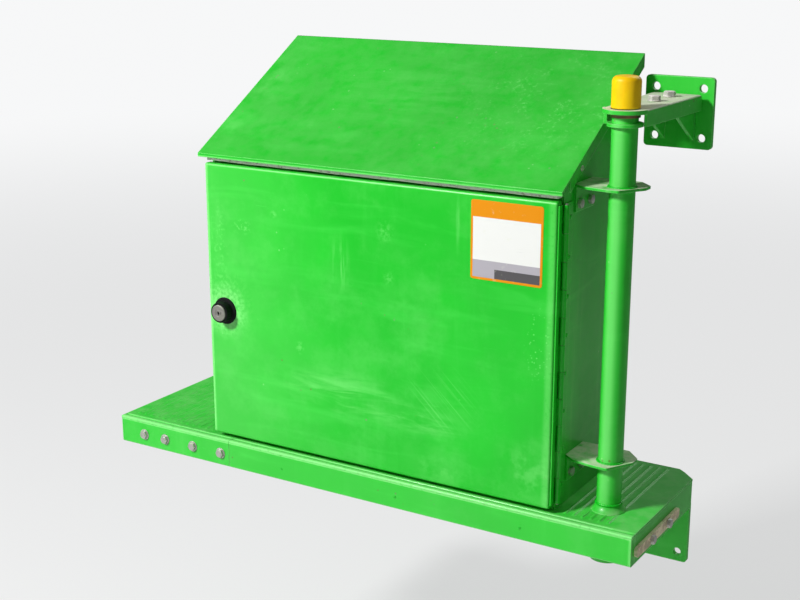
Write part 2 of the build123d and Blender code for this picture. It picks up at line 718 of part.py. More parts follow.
# Latch: round flange, tapered round grip with a lock face, square body through the door
latch_plane = Plane(origin=(latch_x, door_front, latch_z), x_dir=(1, 0, 0), z_dir=(0, -1, 0))
with BuildPart() as latch:
    with BuildSketch(latch_plane) as flange:
        Circle(latch_flange_r)
    extrude(flange.sketch, amount=latch_flange_t)
    with BuildSketch(latch_plane.offset(latch_flange_t)) as grip:
        Circle(latch_grip_r)
    extrude(grip.sketch, amount=latch_grip_h, taper=latch_grip_taper)
    with BuildSketch(latch_plane.offset(latch_flange_t + latch_grip_h)) as face:
        Circle(latch_face_r)
    extrude(face.sketch, amount=latch_face_h)
    with BuildSketch(latch_plane) as body:
        Rectangle(latch_body_w, latch_body_w)
    extrude(body.sketch, amount=-latch_body_length)
save(latch.part, "latch")

with BuildPart() as latch_cam:
    with BuildSketch(latch_plane.offset(-latch_body_length)) as cam:
        SlotOverall(cam_length, cam_w, rotation=90)
    extrude(cam.sketch, amount=-cam_t)
save(latch_cam.part, "latch_cam")


# Knuckle hinge: two leaves whose knuckles take turns along one pin
def hinge_leaf(first, leaf_y0, leaf_y1):
    """Leaf with every second knuckle, starting at the given one."""
    leaf_x1 = locker_right + hinge_leaf_t
    block(locker_right, leaf_x1, leaf_y0, leaf_y1, hinge_z0, hinge_z1)
    for k in range(first, hinge_knuckles, 2):
        z0 = hinge_z0 + k * knuckle_pitch + hinge_axial_gap / 2
        z1 = z0 + knuckle_pitch - hinge_axial_gap
        disc(z0, z1, hinge_r, hinge_x, hinge_y)
        block(locker_right, leaf_x1, leaf_y0, hinge_y, z0, z1)
    disc(hinge_z0, hinge_z1, hinge_pin_r + run_play, hinge_x, hinge_y, Mode.SUBTRACT)


knuckle_pitch = (hinge_z1 - hinge_z0) / hinge_knuckles
leaf_clear = hinge_r + hinge_leaf_gap
with BuildPart() as hinge_leaf_door:
    hinge_leaf(1, hinge_y - leaf_clear, door_front + hinge_front_gap)
save(hinge_leaf_door.part, "hinge_leaf_door")

with BuildPart() as hinge_leaf_locker:
    hinge_leaf(0, hinge_y + leaf_clear, hinge_y + leaf_clear + hinge_leaf_w)
save(hinge_leaf_locker.part, "hinge_leaf_locker")

with BuildPart() as hinge_pin:
    disc(hinge_z0 - hinge_pin_over, hinge_z1 + hinge_pin_over, hinge_pin_r, hinge_x, hinge_y)
save(hinge_pin.part, "hinge_pin")
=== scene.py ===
import json
import math

import bmesh
import bpy
import numpy as np
from bpy.props import FloatProperty, FloatVectorProperty, IntProperty, PointerProperty
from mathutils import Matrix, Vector


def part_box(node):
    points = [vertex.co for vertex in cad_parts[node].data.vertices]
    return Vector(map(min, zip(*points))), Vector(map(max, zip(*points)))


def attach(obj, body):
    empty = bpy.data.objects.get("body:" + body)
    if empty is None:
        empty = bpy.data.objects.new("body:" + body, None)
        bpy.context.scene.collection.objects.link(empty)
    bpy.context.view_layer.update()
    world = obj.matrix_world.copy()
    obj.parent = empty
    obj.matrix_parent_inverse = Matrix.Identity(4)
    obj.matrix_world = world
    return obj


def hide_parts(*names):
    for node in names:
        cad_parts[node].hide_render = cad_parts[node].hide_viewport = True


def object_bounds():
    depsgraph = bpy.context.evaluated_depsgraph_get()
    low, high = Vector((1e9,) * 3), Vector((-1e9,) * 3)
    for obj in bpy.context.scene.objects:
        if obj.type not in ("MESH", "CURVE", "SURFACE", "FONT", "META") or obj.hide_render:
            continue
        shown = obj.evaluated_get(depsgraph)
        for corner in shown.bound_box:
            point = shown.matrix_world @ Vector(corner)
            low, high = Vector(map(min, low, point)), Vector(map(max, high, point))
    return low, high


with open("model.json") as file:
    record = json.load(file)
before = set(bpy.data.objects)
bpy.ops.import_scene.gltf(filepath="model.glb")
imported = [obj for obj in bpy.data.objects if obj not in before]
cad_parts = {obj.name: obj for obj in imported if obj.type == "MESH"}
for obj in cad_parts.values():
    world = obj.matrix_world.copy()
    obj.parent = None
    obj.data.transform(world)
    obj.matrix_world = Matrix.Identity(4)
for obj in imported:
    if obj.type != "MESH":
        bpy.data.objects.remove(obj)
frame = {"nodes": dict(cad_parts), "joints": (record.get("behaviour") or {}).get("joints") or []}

bl_info = {
    "name": "Swing-out tool locker",
    "version": (1, 0, 0),
    "blender": (4, 5, 0),
    "location": "View3D > Sidebar > Locker",
    "description": "Dresses the packed tool locker and its platform: paint, pressings, seals and bolts",
    "category": "Mesh",
}

CAD_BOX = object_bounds()
NODES = frame["nodes"]
JOINTS = {joint["name"]: joint for joint in frame["joints"]}
POST_X, POST_Y, _ = JOINTS["platform_swing"]["pos_m"]
MM = 0.001


def corners(node):
    """Lowest and highest corner of a CAD node as plain arrays."""
    low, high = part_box(node)
    return np.array(low), np.array(high)


def span(node):
    """Middle and half sizes of a CAD node's box."""
    low, high = corners(node)
    return (low + high) / 2.0, (high - low) / 2.0


DOOR_LOW, DOOR_HIGH = corners("door_skin")
ROOF_LOW, ROOF_HIGH = corners("roof")
TREAD_LOW, TREAD_HIGH = corners("tread_plate")
EXTENSION_LOW, EXTENSION_HIGH = corners("tread_extension")
RAIL_LOW, RAIL_HIGH = corners("platform_frame")
SIDE_LOW, SIDE_HIGH = corners("side_panels")
ARM_TOP = corners("upper_arm")[1][2]
POST_TOP = corners("post")[1][2]
POST_R = span("post")[1][0]
RIB_HEIGHT = 1.5 * MM
TREAD_TOP = TREAD_HIGH[2] - RIB_HEIGHT
ROOF_SLOPE = math.radians(30.6)


# Sizes and colours that a user may change

def length(name, description, millimetres):
    """Property for a length, which is kept in metres."""
    return FloatProperty(name=name, description=description, default=millimetres * MM, min=0.0,
                         subtype="DISTANCE", unit="LENGTH", precision=4)


def colour(name, description, default):
    """Property for a linear colour."""
    return FloatVectorProperty(name=name, description=description, default=default, size=3, min=0.0, max=1.0,
                               subtype="COLOR")


class LockerSizes(bpy.types.PropertyGroup):
    door_edge: length("Door edge", "Radius of the bend round the door's face", 4.0)
    door_corner: length("Door corner", "Radius of the door's corners, seen from the front", 3.5)
    door_sheet: length("Door sheet", "Thickness of the door's sheet", 2.0)
    door_wave: length("Door wave", "How far the door's face leaves a true plane", 0.35)
    label_width: length("Label width", "Width of the plate on the door", 118.0)
    label_height: length("Label height", "Height of the plate on the door", 120.0)
    label_right: length("Label setback", "Plate's right edge in from the door's right edge", 21.0)
    label_drop: length("Label drop", "Plate's upper edge below the door's upper edge", 9.0)
    cap_shoulder: length("Cap shoulder", "Radius of the cap's shoulder", 8.0)
    weld: length("Weld", "Radius of the weld beads", 2.6)
    thread_pitch: length("Thread pitch", "Pitch of the bolts' threads", 1.25)
    rivet: length("Rivet", "Radius of the pop rivets' heads", 4.0)
    rib_pitch: length("Rib pitch", "Spacing of the tread's ribs", 14.0)
    rib_width: length("Rib width", "Width of each tread rib at its foot", 5.0)
    bolt_sides: IntProperty(name="Bolt steps", description="Steps round a bolt's head", default=48, min=12)


class LockerColours(bpy.types.PropertyGroup):
    paint: colour("Paint", "Green enamel", (0.004, 0.590, 0.015))
    # Edge is also the tone of the painted highlights on the paint's bends and rims
    edge: colour("Edge", "Rubbed and dusty edges of the paint", (0.220, 0.860, 0.205))
    dust: colour("Dust", "Dry dust", (0.700, 0.740, 0.560))
    primer: colour("Primer", "Grey primer under chipped paint", (0.240, 0.230, 0.200))
    rust: colour("Rust", "Rust in old chips", (0.180, 0.062, 0.022))
    zinc: colour("Zinc", "Zinc plating", (0.560, 0.560, 0.530))
    lock: colour("Lock face", "Worn zinc of the lock", (0.330, 0.320, 0.300))
    bronze: colour("Bronze", "Sintered bronze", (0.260, 0.170, 0.080))
    cap: colour("Cap", "Yellow plastic", (0.980, 0.640, 0.000))
    black: colour("Black plastic", "Latch", (0.006, 0.007, 0.007))
    rubber: colour("Rubber", "Door seal", (0.016, 0.017, 0.016))
    # Set paler than the bare strip to stand in for light under the roof's lip: painted light
    foam: colour("Foam", "Weather strip under its flaked skin", (0.520, 0.465, 0.390))
    skin: colour("Foam skin", "Pale skin that is left on the weather strip", (0.860, 0.860, 0.800))
    chalk: colour("Chalk", "Pale dry deposit on the arm's and the strap's bolts", (0.800, 0.765, 0.715))
    # Strap is set paler than the mud and zinc to stand in for sunlight on it: painted light
    strap_mud_and_light: colour("Strap", "Dry mud and zinc on the end strap", (0.960, 0.870, 0.610))
    orange: colour("Plate border", "Border and header of the plate", (0.760, 0.270, 0.000))
    white: colour("Plate field", "White field of the plate", (0.800, 0.810, 0.780))
    grey: colour("Plate block", "Dark block of the plate", (0.090, 0.086, 0.090))
    lilac: colour("Plate lower field", "Pale grey lower field of the plate", (0.420, 0.400, 0.440))
    floor: colour("Floor", "Studio floor", (0.800, 0.800, 0.795))


def sizes():
    """The sizes that are set in this file."""
    return bpy.context.scene.locker_sizes


def colours():
    """The colours that are set in this file."""
    return bpy.context.scene.locker_colours


def toned(tint, factor, lift=0.0):
    """Colour times a factor, plus a lift, kept at 1 or less."""
    return tuple(min(1.0, value * factor + lift) for value in tint)


# Shader maths

class Flow:
    """One socket of a material's nodes; sums, products and other nodes grow from it as Python expressions."""

    def __init__(self, tree, socket=None):
        self.tree = tree
        self.socket = socket

    def node(self, kind, inputs=None, output=0, **settings):
        """Any node: its settings come first, then the values or links of its sockets."""
        made = self.tree.nodes.new(kind)
        for name, value in settings.items():
            setattr(made, name, value)
        for key, value in (inputs or {}).items():
            if isinstance(value, Flow):
                self.tree.links.new(value.socket, made.inputs[key])
            else:
                made.inputs[key].default_value = value
        return Flow(self.tree, made.outputs[output])

    def math(self, operation, first, second=0.0, clamp=False):
        """Math node with two inputs."""
        return self.node("ShaderNodeMath", {0: first, 1: second}, operation=operation, use_clamp=clamp)

    def vector(self, operation, other=(0.0, 0.0, 0.0), output=0):
        """Vector Math node with this vector and another."""
        return self.node("ShaderNodeVectorMath", {0: self, 1: other}, output, operation=operation)

    def __add__(self, other):
        return self.math("ADD", self, other)

    __radd__ = __add__

    def __sub__(self, other):
        return self.math("SUBTRACT", self, other)

    def __rsub__(self, other):
        return self.math("SUBTRACT", other, self)

    def __mul__(self, other):
        return self.math("MULTIPLY", self, other)

    __rmul__ = __mul__

    def clamped(self):
        """Value kept between 0 and 1."""
        return self.math("ADD", self, 0.0, clamp=True)

    def step(self, low, high):
        """Smooth rise from 0 at low to 1 at high."""
        return self.node("ShaderNodeMapRange", {0: self, 1: low, 2: high}, interpolation_type="SMOOTHSTEP")

    def past(self, line, low, high):
        """Smooth rise from 0 to 1 between two distances past a line, in millimetres."""
        return self.step(line + low * MM, line + high * MM)

    def over(self, base, top):
        """Mix of two colours by this value, from base at 0 to top at 1."""
        base, top = [value if isinstance(value, Flow) else (*value, 1.0) for value in (base, top)]
        return self.node("ShaderNodeMix", {0: self, 6: base, 7: top}, output=2, data_type="RGBA")

    def axes(self):
        """X, Y and Z of a vector as three values."""
        split = self.tree.nodes.new("ShaderNodeSeparateXYZ")
        self.tree.links.new(self.socket, split.inputs[0])
        return [Flow(self.tree, out) for out in split.outputs]

    def stretched(self, x, y, z):
        """Vector scaled by three factors."""
        return self.vector("MULTIPLY", (x, y, z))

    def near(self, centre, size):
        """1 at a centre, falling to 0 on the ellipsoid of the given half sizes round it, in millimetres."""
        shifted = self.vector("ADD", tuple(-value * MM for value in centre))
        scaled = shifted.stretched(*(1.0 / (value * MM) for value in size))
        return 1.0 - scaled.vector("LENGTH", output="Value").step(0.0, 1.0)

    def rolled(self, degrees):
        """Vector turned about Y."""
        return self.node("ShaderNodeMapping", {"Vector": self, "Rotation": (0.0, math.radians(degrees), 0.0)})

    def noise(self, scale, detail=3.0, roughness=0.55, distortion=0.0):
        """Noise from 0 to 1 at a number of grains a metre."""
        return self.node("ShaderNodeTexNoise", {"Vector": self, "Scale": scale, "Detail": detail,
                                                "Roughness": roughness, "Distortion": distortion})

    def streaks(self, x, y, z, detail=3.0, roughness=0.6, distortion=0.0):
        """Noise at its own number of grains a metre along each axis."""
        return self.stretched(x, y, z).noise(1.0, detail, roughness, distortion)

    def cells(self, scale):
        """Distance to the nearest point of a cell pattern."""
        return self.node("ShaderNodeTexVoronoi", {"Vector": self, "Scale": scale})


def new_material(name):
    """Empty material: its shader node, the flow of Object coordinates, and the material."""
    material = bpy.data.materials.new(name)
    material.use_nodes = True
    tree = material.node_tree
    place = Flow(tree).node("ShaderNodeTexCoord", output="Object")
    return material, tree.nodes["Principled BSDF"], place


def feed(shader, **inputs):
    """Set or link the shader's sockets, named with underscores for spaces."""
    for name, value in inputs.items():
        socket = shader.inputs[name.replace("_", " ")]
        if isinstance(value, Flow):
            value.tree.links.new(value.socket, socket)
        else:
            socket.default_value = value


def bump(height, strength, depth, normal=None):
    """Bump node over a height, with its depth in millimetres, on top of another normal if one is given."""
    inputs = {"Strength": strength, "Distance": depth * MM, "Height": height}
    if normal is not None:
        inputs["Normal"] = normal
    return height.node("ShaderNodeBump", inputs)


def face_normal(place):
    """The surface's own normal."""
    return place.node("ShaderNodeNewGeometry", output="Normal")


def facing_up(place):
    """How far the surface faces up, from -1 to 1."""
    return face_normal(place).axes()[2]


def edge_of(place, radius):
    """Rounded normal within a radius in millimetres of each edge, and a mask that is 1 on the edge."""
    soft = place.node("ShaderNodeBevel", {"Radius": radius * MM}, samples=6)
    same = soft.vector("DOT_PRODUCT", face_normal(place), "Value")
    return soft, (1.0 - same).step(0.01, 0.16)


def door_marks_and_highlights(place):
    """Pale places on the door: a painted highlight on the bends of its rim, a pale ring round the latch,
    paler towards the left edge, and dusty and worn patches of one grain.
    """
    down = place.streaks(150.0, 1.0, 14.0, 3.0, 0.6, 0.3)
    level = place.streaks(7.0, 1.0, 50.0, 4.0, 0.6, 0.5)
    falling = place.rolled(-43.0).streaks(5.0, 1.0, 330.0, 2.0, 0.5, 0.2)
    fine = place.noise(150.0, 4.0, 0.65)
    soft = place.noise(34.0, 5.0, 0.6)
    broad = place.noise(11.0, 6.0, 0.68)
    spots = 1.0 - place.cells(170.0)
    x, y, z = place.axes()
    outside = 1.0 - y.past(DOOR_LOW[1], 0.5, 1.5)
    # Painted highlight on the bends of the door's left, top and right edges; the right one is a broader band
    rim = (1.0 - x.past(DOOR_LOW[0], 4.0, 8.0)) * 1.3 + z.past(DOOR_HIGH[2], -5.0, -2.0)
    rim = rim + x.past(DOOR_HIGH[0], -16.0, -8.0) * 0.50
    left = (1.0 - x.past(DOOR_LOW[0], 20.0, 300.0)) * 0.28
    face = DOOR_LOW[1] / MM
    latch = span("latch")[0] / MM
    ring = place.near((latch[0], face, latch[2]), (58.0, 6.0, 58.0)) * 1.6
    marks = (rim * fine.step(0.10, 0.50) * 0.9 + left) * outside + ring * fine.step(0.20, 0.54)
    marks = marks + broad.step(0.47, 0.68) * outside * 0.15
    # Each patch: middle in x and z, half sizes in mm, grain, where it starts and is full, and strength
    patches = (
        (-440, -234, 22, 60, down, 0.42, 0.62, 0.75),
        (-357, -176, 24, 26, fine, 0.42, 0.62, 0.5),
        (-351, -249, 15, 16, fine, 0.40, 0.60, 0.5),
        (-229, -150, 5, 60, down, 0.30, 0.60, 0.6),
        (-440, -455, 150, 56, level, 0.42, 0.66, 0.9),
        (-300, -474, 110, 30, level, 0.40, 0.66, 0.8),
        (-250, -430, 90, 70, falling, 0.52, 0.74, 0.5),
        (-634, -200, 26, 18, fine, 0.50, 0.60, 0.8),
        (-683, -230, 24, 90, fine, 0.52, 0.66, 0.6),
        (-672, -335, 70, 76, fine, 0.44, 0.64, 0.7),
        (-522, -389, 12, 16, fine, 0.44, 0.60, 0.6),
        (-569, -172, 10, 8, fine, 0.40, 0.60, 0.7),
        (-92, -315, 30, 80, spots, 0.72, 0.84, 1.0),
        (-100, -520, 80, 70, soft, 0.44, 0.64, 0.5),
        (-250, -545, 100, 26, soft, 0.42, 0.62, 0.35))
    for patch_x, patch_z, wide, tall, grain, start, full, strength in patches:
        mask = place.near((patch_x, face - 1.2, patch_z), (wide, 6.0, tall))
        marks = marks + mask * grain.step(start, full) * strength
    return marks


def roof_marks_and_highlights(place):
    """Specks of dust on the roof's right half, level streaks, a painted sheen on the left slope and a painted
    highlight along the bend of the lower edge.
    """
    fine = place.noise(130.0, 5.0, 0.7)
    cloud = place.noise(20.0, 3.0, 0.6)
    level = place.streaks(8.0, 60.0, 60.0, 4.0)
    right = place.near((-150, -120, 10), (230, 220, 160))
    middle = place.near((-400, -130, 10), (260, 150, 120))
    # Painted sheen: a paler stretch on the left slope
    left = place.near((-700, -160, 0), (60, 200, 140))
    # Painted highlight along the bend of the roof's lower edge
    low_edge_highlight = 1.0 - place.axes()[2].past(ROOF_LOW[2], 1.5, 3.5)
    marks = right * fine.step(0.50, 0.72) * cloud.step(0.42, 0.58) * 0.9 + low_edge_highlight * fine.step(0.20, 0.50)
    return marks + middle * level.step(0.42, 0.66) * 0.15 + left * cloud.step(0.4, 0.7) * 0.4


def post_highlight(place):
    """Painted highlight: a pale band down the front of the post, a little left of its axis, where the light
    falls.
    """
    x, y, _ = place.axes()
    lit_band = x.past(POST_X, -15.0, -5.0) * (1.0 - x.past(POST_X, 1.0, 12.0))
    return lit_band * (1.0 - y.past(POST_Y, -6.0, 0.0)) * 0.8


def platform_highlights_and_wear(place):
    """Painted highlight and wear on the treads' front margin and groove, and on the front rail's lower and right
    edges.
    """
    x, y, z = place.axes()
    margin = (1.0 - y.past(TREAD_LOW[1], 5.0, 8.0)) * z.past(TREAD_LOW[2], -3.0, -1.0)
    groove = y.past(TREAD_LOW[1], 12.0, 13.5) * (1.0 - y.past(TREAD_LOW[1], 15.0, 18.0)) * 0.5
    low_edge_highlight = 1.0 - z.past(RAIL_LOW[2], 1.0, 3.5)
    end = x.past(RAIL_HIGH[0], -6.0, -2.0)
    face = 1.0 - y.past(RAIL_LOW[1], 1.0, 2.0)
    # Painted highlights on the bends, broken up by noise like worn paint
    wear_and_highlight = (margin + groove) * 1.6 + (low_edge_highlight + end) * face
    return wear_and_highlight * place.noise(110.0, 4.0, 0.6).step(0.15, 0.5)


def green_paint(name, dustiness, wear, edge_radius, marks=None, fade=0.0, cover=0.30, depth=1.0):
    """Glossy green enamel: fade in soft clouds, wash marks, scratches, chips, dust, and pale edges that are
    partly worn paint and partly a painted highlight on the bends.

    Fade moves the paint towards its edge tone, cover is where dust starts, and depth scales the paint."""
    material, shader, place = new_material(name)
    c = colours()
    soft, edge = edge_of(place, edge_radius)
    clouds = place.noise(4.5, 4.0, 0.6)
    mottle = place.noise(38.0, 5.0, 0.65)
    washed = place.streaks(26.0, 26.0, 2.2, 4.0)
    wiped = place.streaks(5.0, 5.0, 34.0, 3.0, 0.5, 0.6)
    scratch = place.stretched(3.0, 3.0, 120.0).noise(2.4, 2.0, 0.7, 0.9)
    scratches = scratch.step(0.70, 0.76) * mottle.step(0.50, 0.62)
    specks = (1.0 - place.cells(52.0).step(0.05, 0.11)) * place.noise(9.0, 2.0).step(0.56, 0.66)
    chips = (1.0 - place.cells(70.0).step(0.10, 0.16)) * place.noise(14.0, 2.0).step(0.60, 0.66)
    chips = (chips * wear + edge * mottle.step(0.60, 0.70) * wear).clamped()
    faded = place.noise(15.0, 5.0, 0.65).step(0.44, 0.66) * place.noise(3.0, 2.0, 0.5).step(0.36, 0.56)
    dusty = facing_up(place).step(0.25, 0.95) * mottle.step(cover, cover + 0.42)
    settled = (dusty + washed.step(0.60, 0.82) * 0.35) * dustiness
    paler = (wiped.step(0.52, 0.80) * 0.40 + washed.step(0.50, 0.80) * 0.20 + scratches * 0.5).clamped()
    # Pale edges: partly worn paint, partly a painted highlight on the bends; the marks add more of both
    wear_and_highlight = edge * 0.72
    if marks is not None:
        wear_and_highlight = (wear_and_highlight + marks(place) * 0.62).clamped()
    paint = tuple(depth * (value + fade * (worn - value)) for value, worn in zip(c.paint, c.edge))
    body = (clouds.step(0.36, 0.68) * 0.8).over(toned(paint, 0.86), paint)
    body = (faded * 0.08).over(body, c.edge)
    body = paler.over(body, toned(paint, 1.10, 0.05))
    body = wear_and_highlight.over(body, c.edge)
    body = (specks * 0.55 * wear).over(body, (0.45, 0.80, 0.40))
    body = (chips * 0.8).over(body, mottle.step(0.42, 0.60).over(c.primer, c.rust))
    body = settled.clamped().over(body, c.dust)
    peel = place.noise(420.0, 2.0, 0.5)
    normal = bump(place.noise(7.0, 2.0, 0.5), 0.35, 4.0, soft)
    normal = bump(peel - chips * 0.9 - scratches * 0.25, 0.16, 0.35, normal)
    gloss = (0.30 + mottle * 0.16 + settled * 0.45 + chips * 0.35 + scratches * 0.2).clamped()
    feed(shader, Base_Color=body, Roughness=gloss, Normal=normal, Specular_IOR_Level=0.35, Coat_Weight=0.10,
         Coat_Roughness=0.12)
    return material


def plated_steel(name, tint, dustiness, rough=0.36, dust=None):
    """Plated metal with a fine grain, finger marks, and dust that lies on top."""
    material, shader, place = new_material(name)
    soft, edge = edge_of(place, 0.7)
    stain = place.noise(60.0, 5.0, 0.65)
    grain = place.noise(900.0, 2.0, 0.5)
    dusty = ((facing_up(place).step(0.1, 0.9) * 0.7 + 0.3) * stain.step(0.35, 0.65) * dustiness).clamped()
    base = stain.step(0.35, 0.68).over(tint, toned(tint, 0.66))
    # Paler edges: partly worn plating, partly a painted highlight
    base = (edge * 0.4).over(base, toned(tint, 1.35))
    base = dusty.over(base, dust or colours().dust)
    feed(shader, Base_Color=base, Metallic=(1.0 - dusty * 0.9) * 0.9,
         Roughness=(rough + stain * 0.16 + dusty * 0.4).clamped(),
         Normal=bump(grain + stain * 0.5, 0.25, 0.2, soft))
    return material


def moulded_plastic(name, tint, shade, rough, shine):
    """Moulded plastic: sun-bleached clouds, a fine grain, pale edges that are partly worn and partly a painted
    highlight, and specks of dirt.
    """
    material, shader, place = new_material(name)
    soft, edge = edge_of(place, 0.8)
    clouds = place.noise(45.0, 3.0, 0.5)
    dirt = place.noise(160.0, 5.0, 0.7)
    base = (clouds.step(0.35, 0.7) * 0.6).over(tint, shade)
    base = (dirt.step(0.62, 0.78) * 0.35).over(base, toned(shade, 0.45))
    # Pale edges: partly worn plastic, partly a painted highlight
    base = (edge * 0.25).over(base, toned(tint, 1.2, 0.03))
    feed(shader, Base_Color=base, Roughness=(rough + dirt * 0.15).clamped(), Specular_IOR_Level=shine,
         Normal=bump(place.noise(700.0, 2.0), 0.2, 0.15, soft))
    return material


def flaked_foam(name):
    """Foam whose pale skin is left in flakes, with pores between them; the bare tone under the skin is set paler
    to stand in for light under the roof's lip, a painted light.
    """
    material, shader, place = new_material(name)
    c = colours()
    pores = place.cells(700.0)
    flake = place.streaks(110.0, 260.0, 260.0, 5.0, 0.7, 0.4)
    bare = place.streaks(30.0, 90.0, 90.0)
    skin = (flake.step(0.34, 0.46) * bare.step(0.20, 0.38)).clamped()
    # Tone under the skin set paler to stand in for light under the roof's lip: painted light
    foam = pores.step(0.1, 0.5).over(toned(c.foam, 0.5), c.foam)
    feed(shader, Base_Color=(skin * 0.9).over(foam, c.skin), Roughness=0.8,
         Normal=bump(skin + pores * 0.4, 0.5, 0.5))
    return material


def foam_rubber(name, tint, dustiness):
    """Cellular rubber: fine pores, dust in them, and a dull surface."""
    material, shader, place = new_material(name)
    pores = place.cells(900.0)
    stain = place.noise(70.0, 4.0, 0.6)
    dusty = ((facing_up(place).step(-0.2, 0.8) * 0.6 + 0.4) * stain.step(0.3, 0.6) * dustiness).clamped()
    base = pores.step(0.1, 0.5).over(toned(tint, 0.5), tint)
    feed(shader, Base_Color=dusty.over(base, toned(colours().dust, 0.8)), Roughness=0.82,
         Normal=bump(pores + stain * 0.4, 0.5, 0.5))
    return material


def weld_metal(name):
    """Painted-over weld: enamel that pools between the ripples, with dust in places."""
    material, shader, place = new_material(name)
    c = colours()
    pooled = place.noise(220.0, 4.0, 0.6)
    base = pooled.step(0.35, 0.7).over(toned(c.paint, 0.75), c.paint)
    feed(shader, Base_Color=(pooled.step(0.66, 0.8) * 0.5).over(base, c.dust), Roughness=0.34,
         Normal=bump(place.noise(900.0, 3.0), 0.4, 0.4))
    return material


def printed_plate(name, low, high):
    """Blank coloured plate: border and header, white field, pale lower field and a dark block in it."""
    material, shader, place = new_material(name)
    c = colours()
    x, _, z = place.axes()
    width, height = high[0] - low[0], high[2] - low[2]
    border, soft = 3.6, 0.25
    header = high[2] - 0.21 * height
    inner = (x.past(low[0], border, border + soft) * (1.0 - x.past(high[0], -border - soft, -border))
             * z.past(low[2], border, border + soft) * (1.0 - z.past(header, -soft, 0.0)))
    lower = 1.0 - z.past(low[2] + 0.25 * height, -soft, 0.0)
    block = (1.0 - z.past(low[2] + 0.15 * height, -soft, 0.0)) * x.past(low[0] + 0.34 * width, 0.0, soft)
    wear = place.noise(90.0, 5.0, 0.7)
    rub = place.streaks(20.0, 20.0, 160.0)
    tone = inner.over(c.orange, block.over(lower.over(c.white, c.lilac), c.grey))
    tone = (wear.step(0.60, 0.74) * 0.22).over(tone, c.dust)
    tone = (rub.step(0.66, 0.76) * 0.3).over(tone, (0.6, 0.6, 0.58))
    feed(shader, Base_Color=tone, Roughness=(0.3 + wear * 0.25).clamped(), Specular_IOR_Level=0.25,
         Normal=bump(wear + rub, 0.08, 0.2))
    return material


# Surfaces as numpy arrays

def grid_faces(rows, columns, wrap_rows=False, wrap_columns=False):
    """Quads between neighbouring points of a grid that is numbered row by row."""
    r = np.arange(rows if wrap_rows else rows - 1)
    c = np.arange(columns if wrap_columns else columns - 1)
    r, c = np.meshgrid(r, c, indexing="ij")
    r_next, c_next = (r + 1) % rows, (c + 1) % columns
    quads = (r * columns + c, r * columns + c_next, r_next * columns + c_next, r_next * columns + c)
    return np.stack(quads, -1).reshape(-1, 4)


def shell(points, wrap_rows=False):
    """Points of a grid, shaped rows x columns x 3, with the quads between them; each row is a closed ring."""
    rows, columns, _ = points.shape
    return points.reshape(-1, 3), grid_faces(rows, columns, wrap_rows, True)


def seated(points, origin, x_axis, z_axis, wrap_rows=False):
    """Shell of points in a local frame, put at an origin with the given local X and Z directions."""
    x_axis, z_axis = np.array(x_axis, float), np.array(z_axis, float)
    basis = np.stack((x_axis, np.cross(z_axis, x_axis), z_axis))
    return shell(points @ basis + np.array(origin, float), wrap_rows)


def make_piece(name, shells, material, body, sharp=32.0):
    """Join closed shells into one object at the origin, close seams and poles, and point them outwards."""
    merge = 1e-6
    starts = np.cumsum([0] + [len(points) for points, _ in shells[:-1]])
    vertices = np.concatenate([points for points, _ in shells])
    quads = np.concatenate([faces + start for (_, faces), start in zip(shells, starts)])
    mesh = bpy.data.meshes.new(name)
    mesh.from_pydata(vertices.tolist(), [], quads.tolist())
    work = bmesh.new()
    work.from_mesh(mesh)
    bmesh.ops.remove_doubles(work, verts=work.verts, dist=merge)
    bmesh.ops.dissolve_degenerate(work, edges=work.edges, dist=merge)
    bmesh.ops.recalc_face_normals(work, faces=work.faces)
    work.to_mesh(mesh)
    work.free()
    mesh.polygons.foreach_set("use_smooth", np.ones(len(mesh.polygons), bool))
    mesh.set_sharp_from_angle(angle=math.radians(sharp))
    mesh.materials.append(material)
    piece = bpy.data.objects.new(name, mesh)
    bpy.context.scene.collection.objects.link(piece)
    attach(piece, body)
    return piece


def full_turn(steps):
    """Evenly spaced angles once round, in radians."""
    return np.linspace(0.0, 2.0 * math.pi, steps, endpoint=False)


def polar(radius, turn, height):
    """Points (r cos t, r sin t, z), with the three spread to one common shape."""
    return np.stack(np.broadcast_arrays(radius * np.cos(turn), radius * np.sin(turn), height), -1)


def turned(profile, steps=64):
    """Surface of revolution: each profile point (r, z) goes round the axis as (r cos t, r sin t, z)."""
    profile = np.array(profile, float)
    return polar(profile[:, :1], full_turn(steps), profile[:, 1:])


def arc(centre, radius, start, end, count):
    """Points of an arc in a plane, from one angle in degrees to another."""
    turn = np.radians(np.linspace(start, end, count))
    return np.stack((centre[0] + radius * np.cos(turn), centre[1] + radius * np.sin(turn)), -1)


def rise(distance, width):
    """0 up to a line and 1 from a width past it, straight in between."""
    return np.clip(distance / width, 0.0, 1.0)


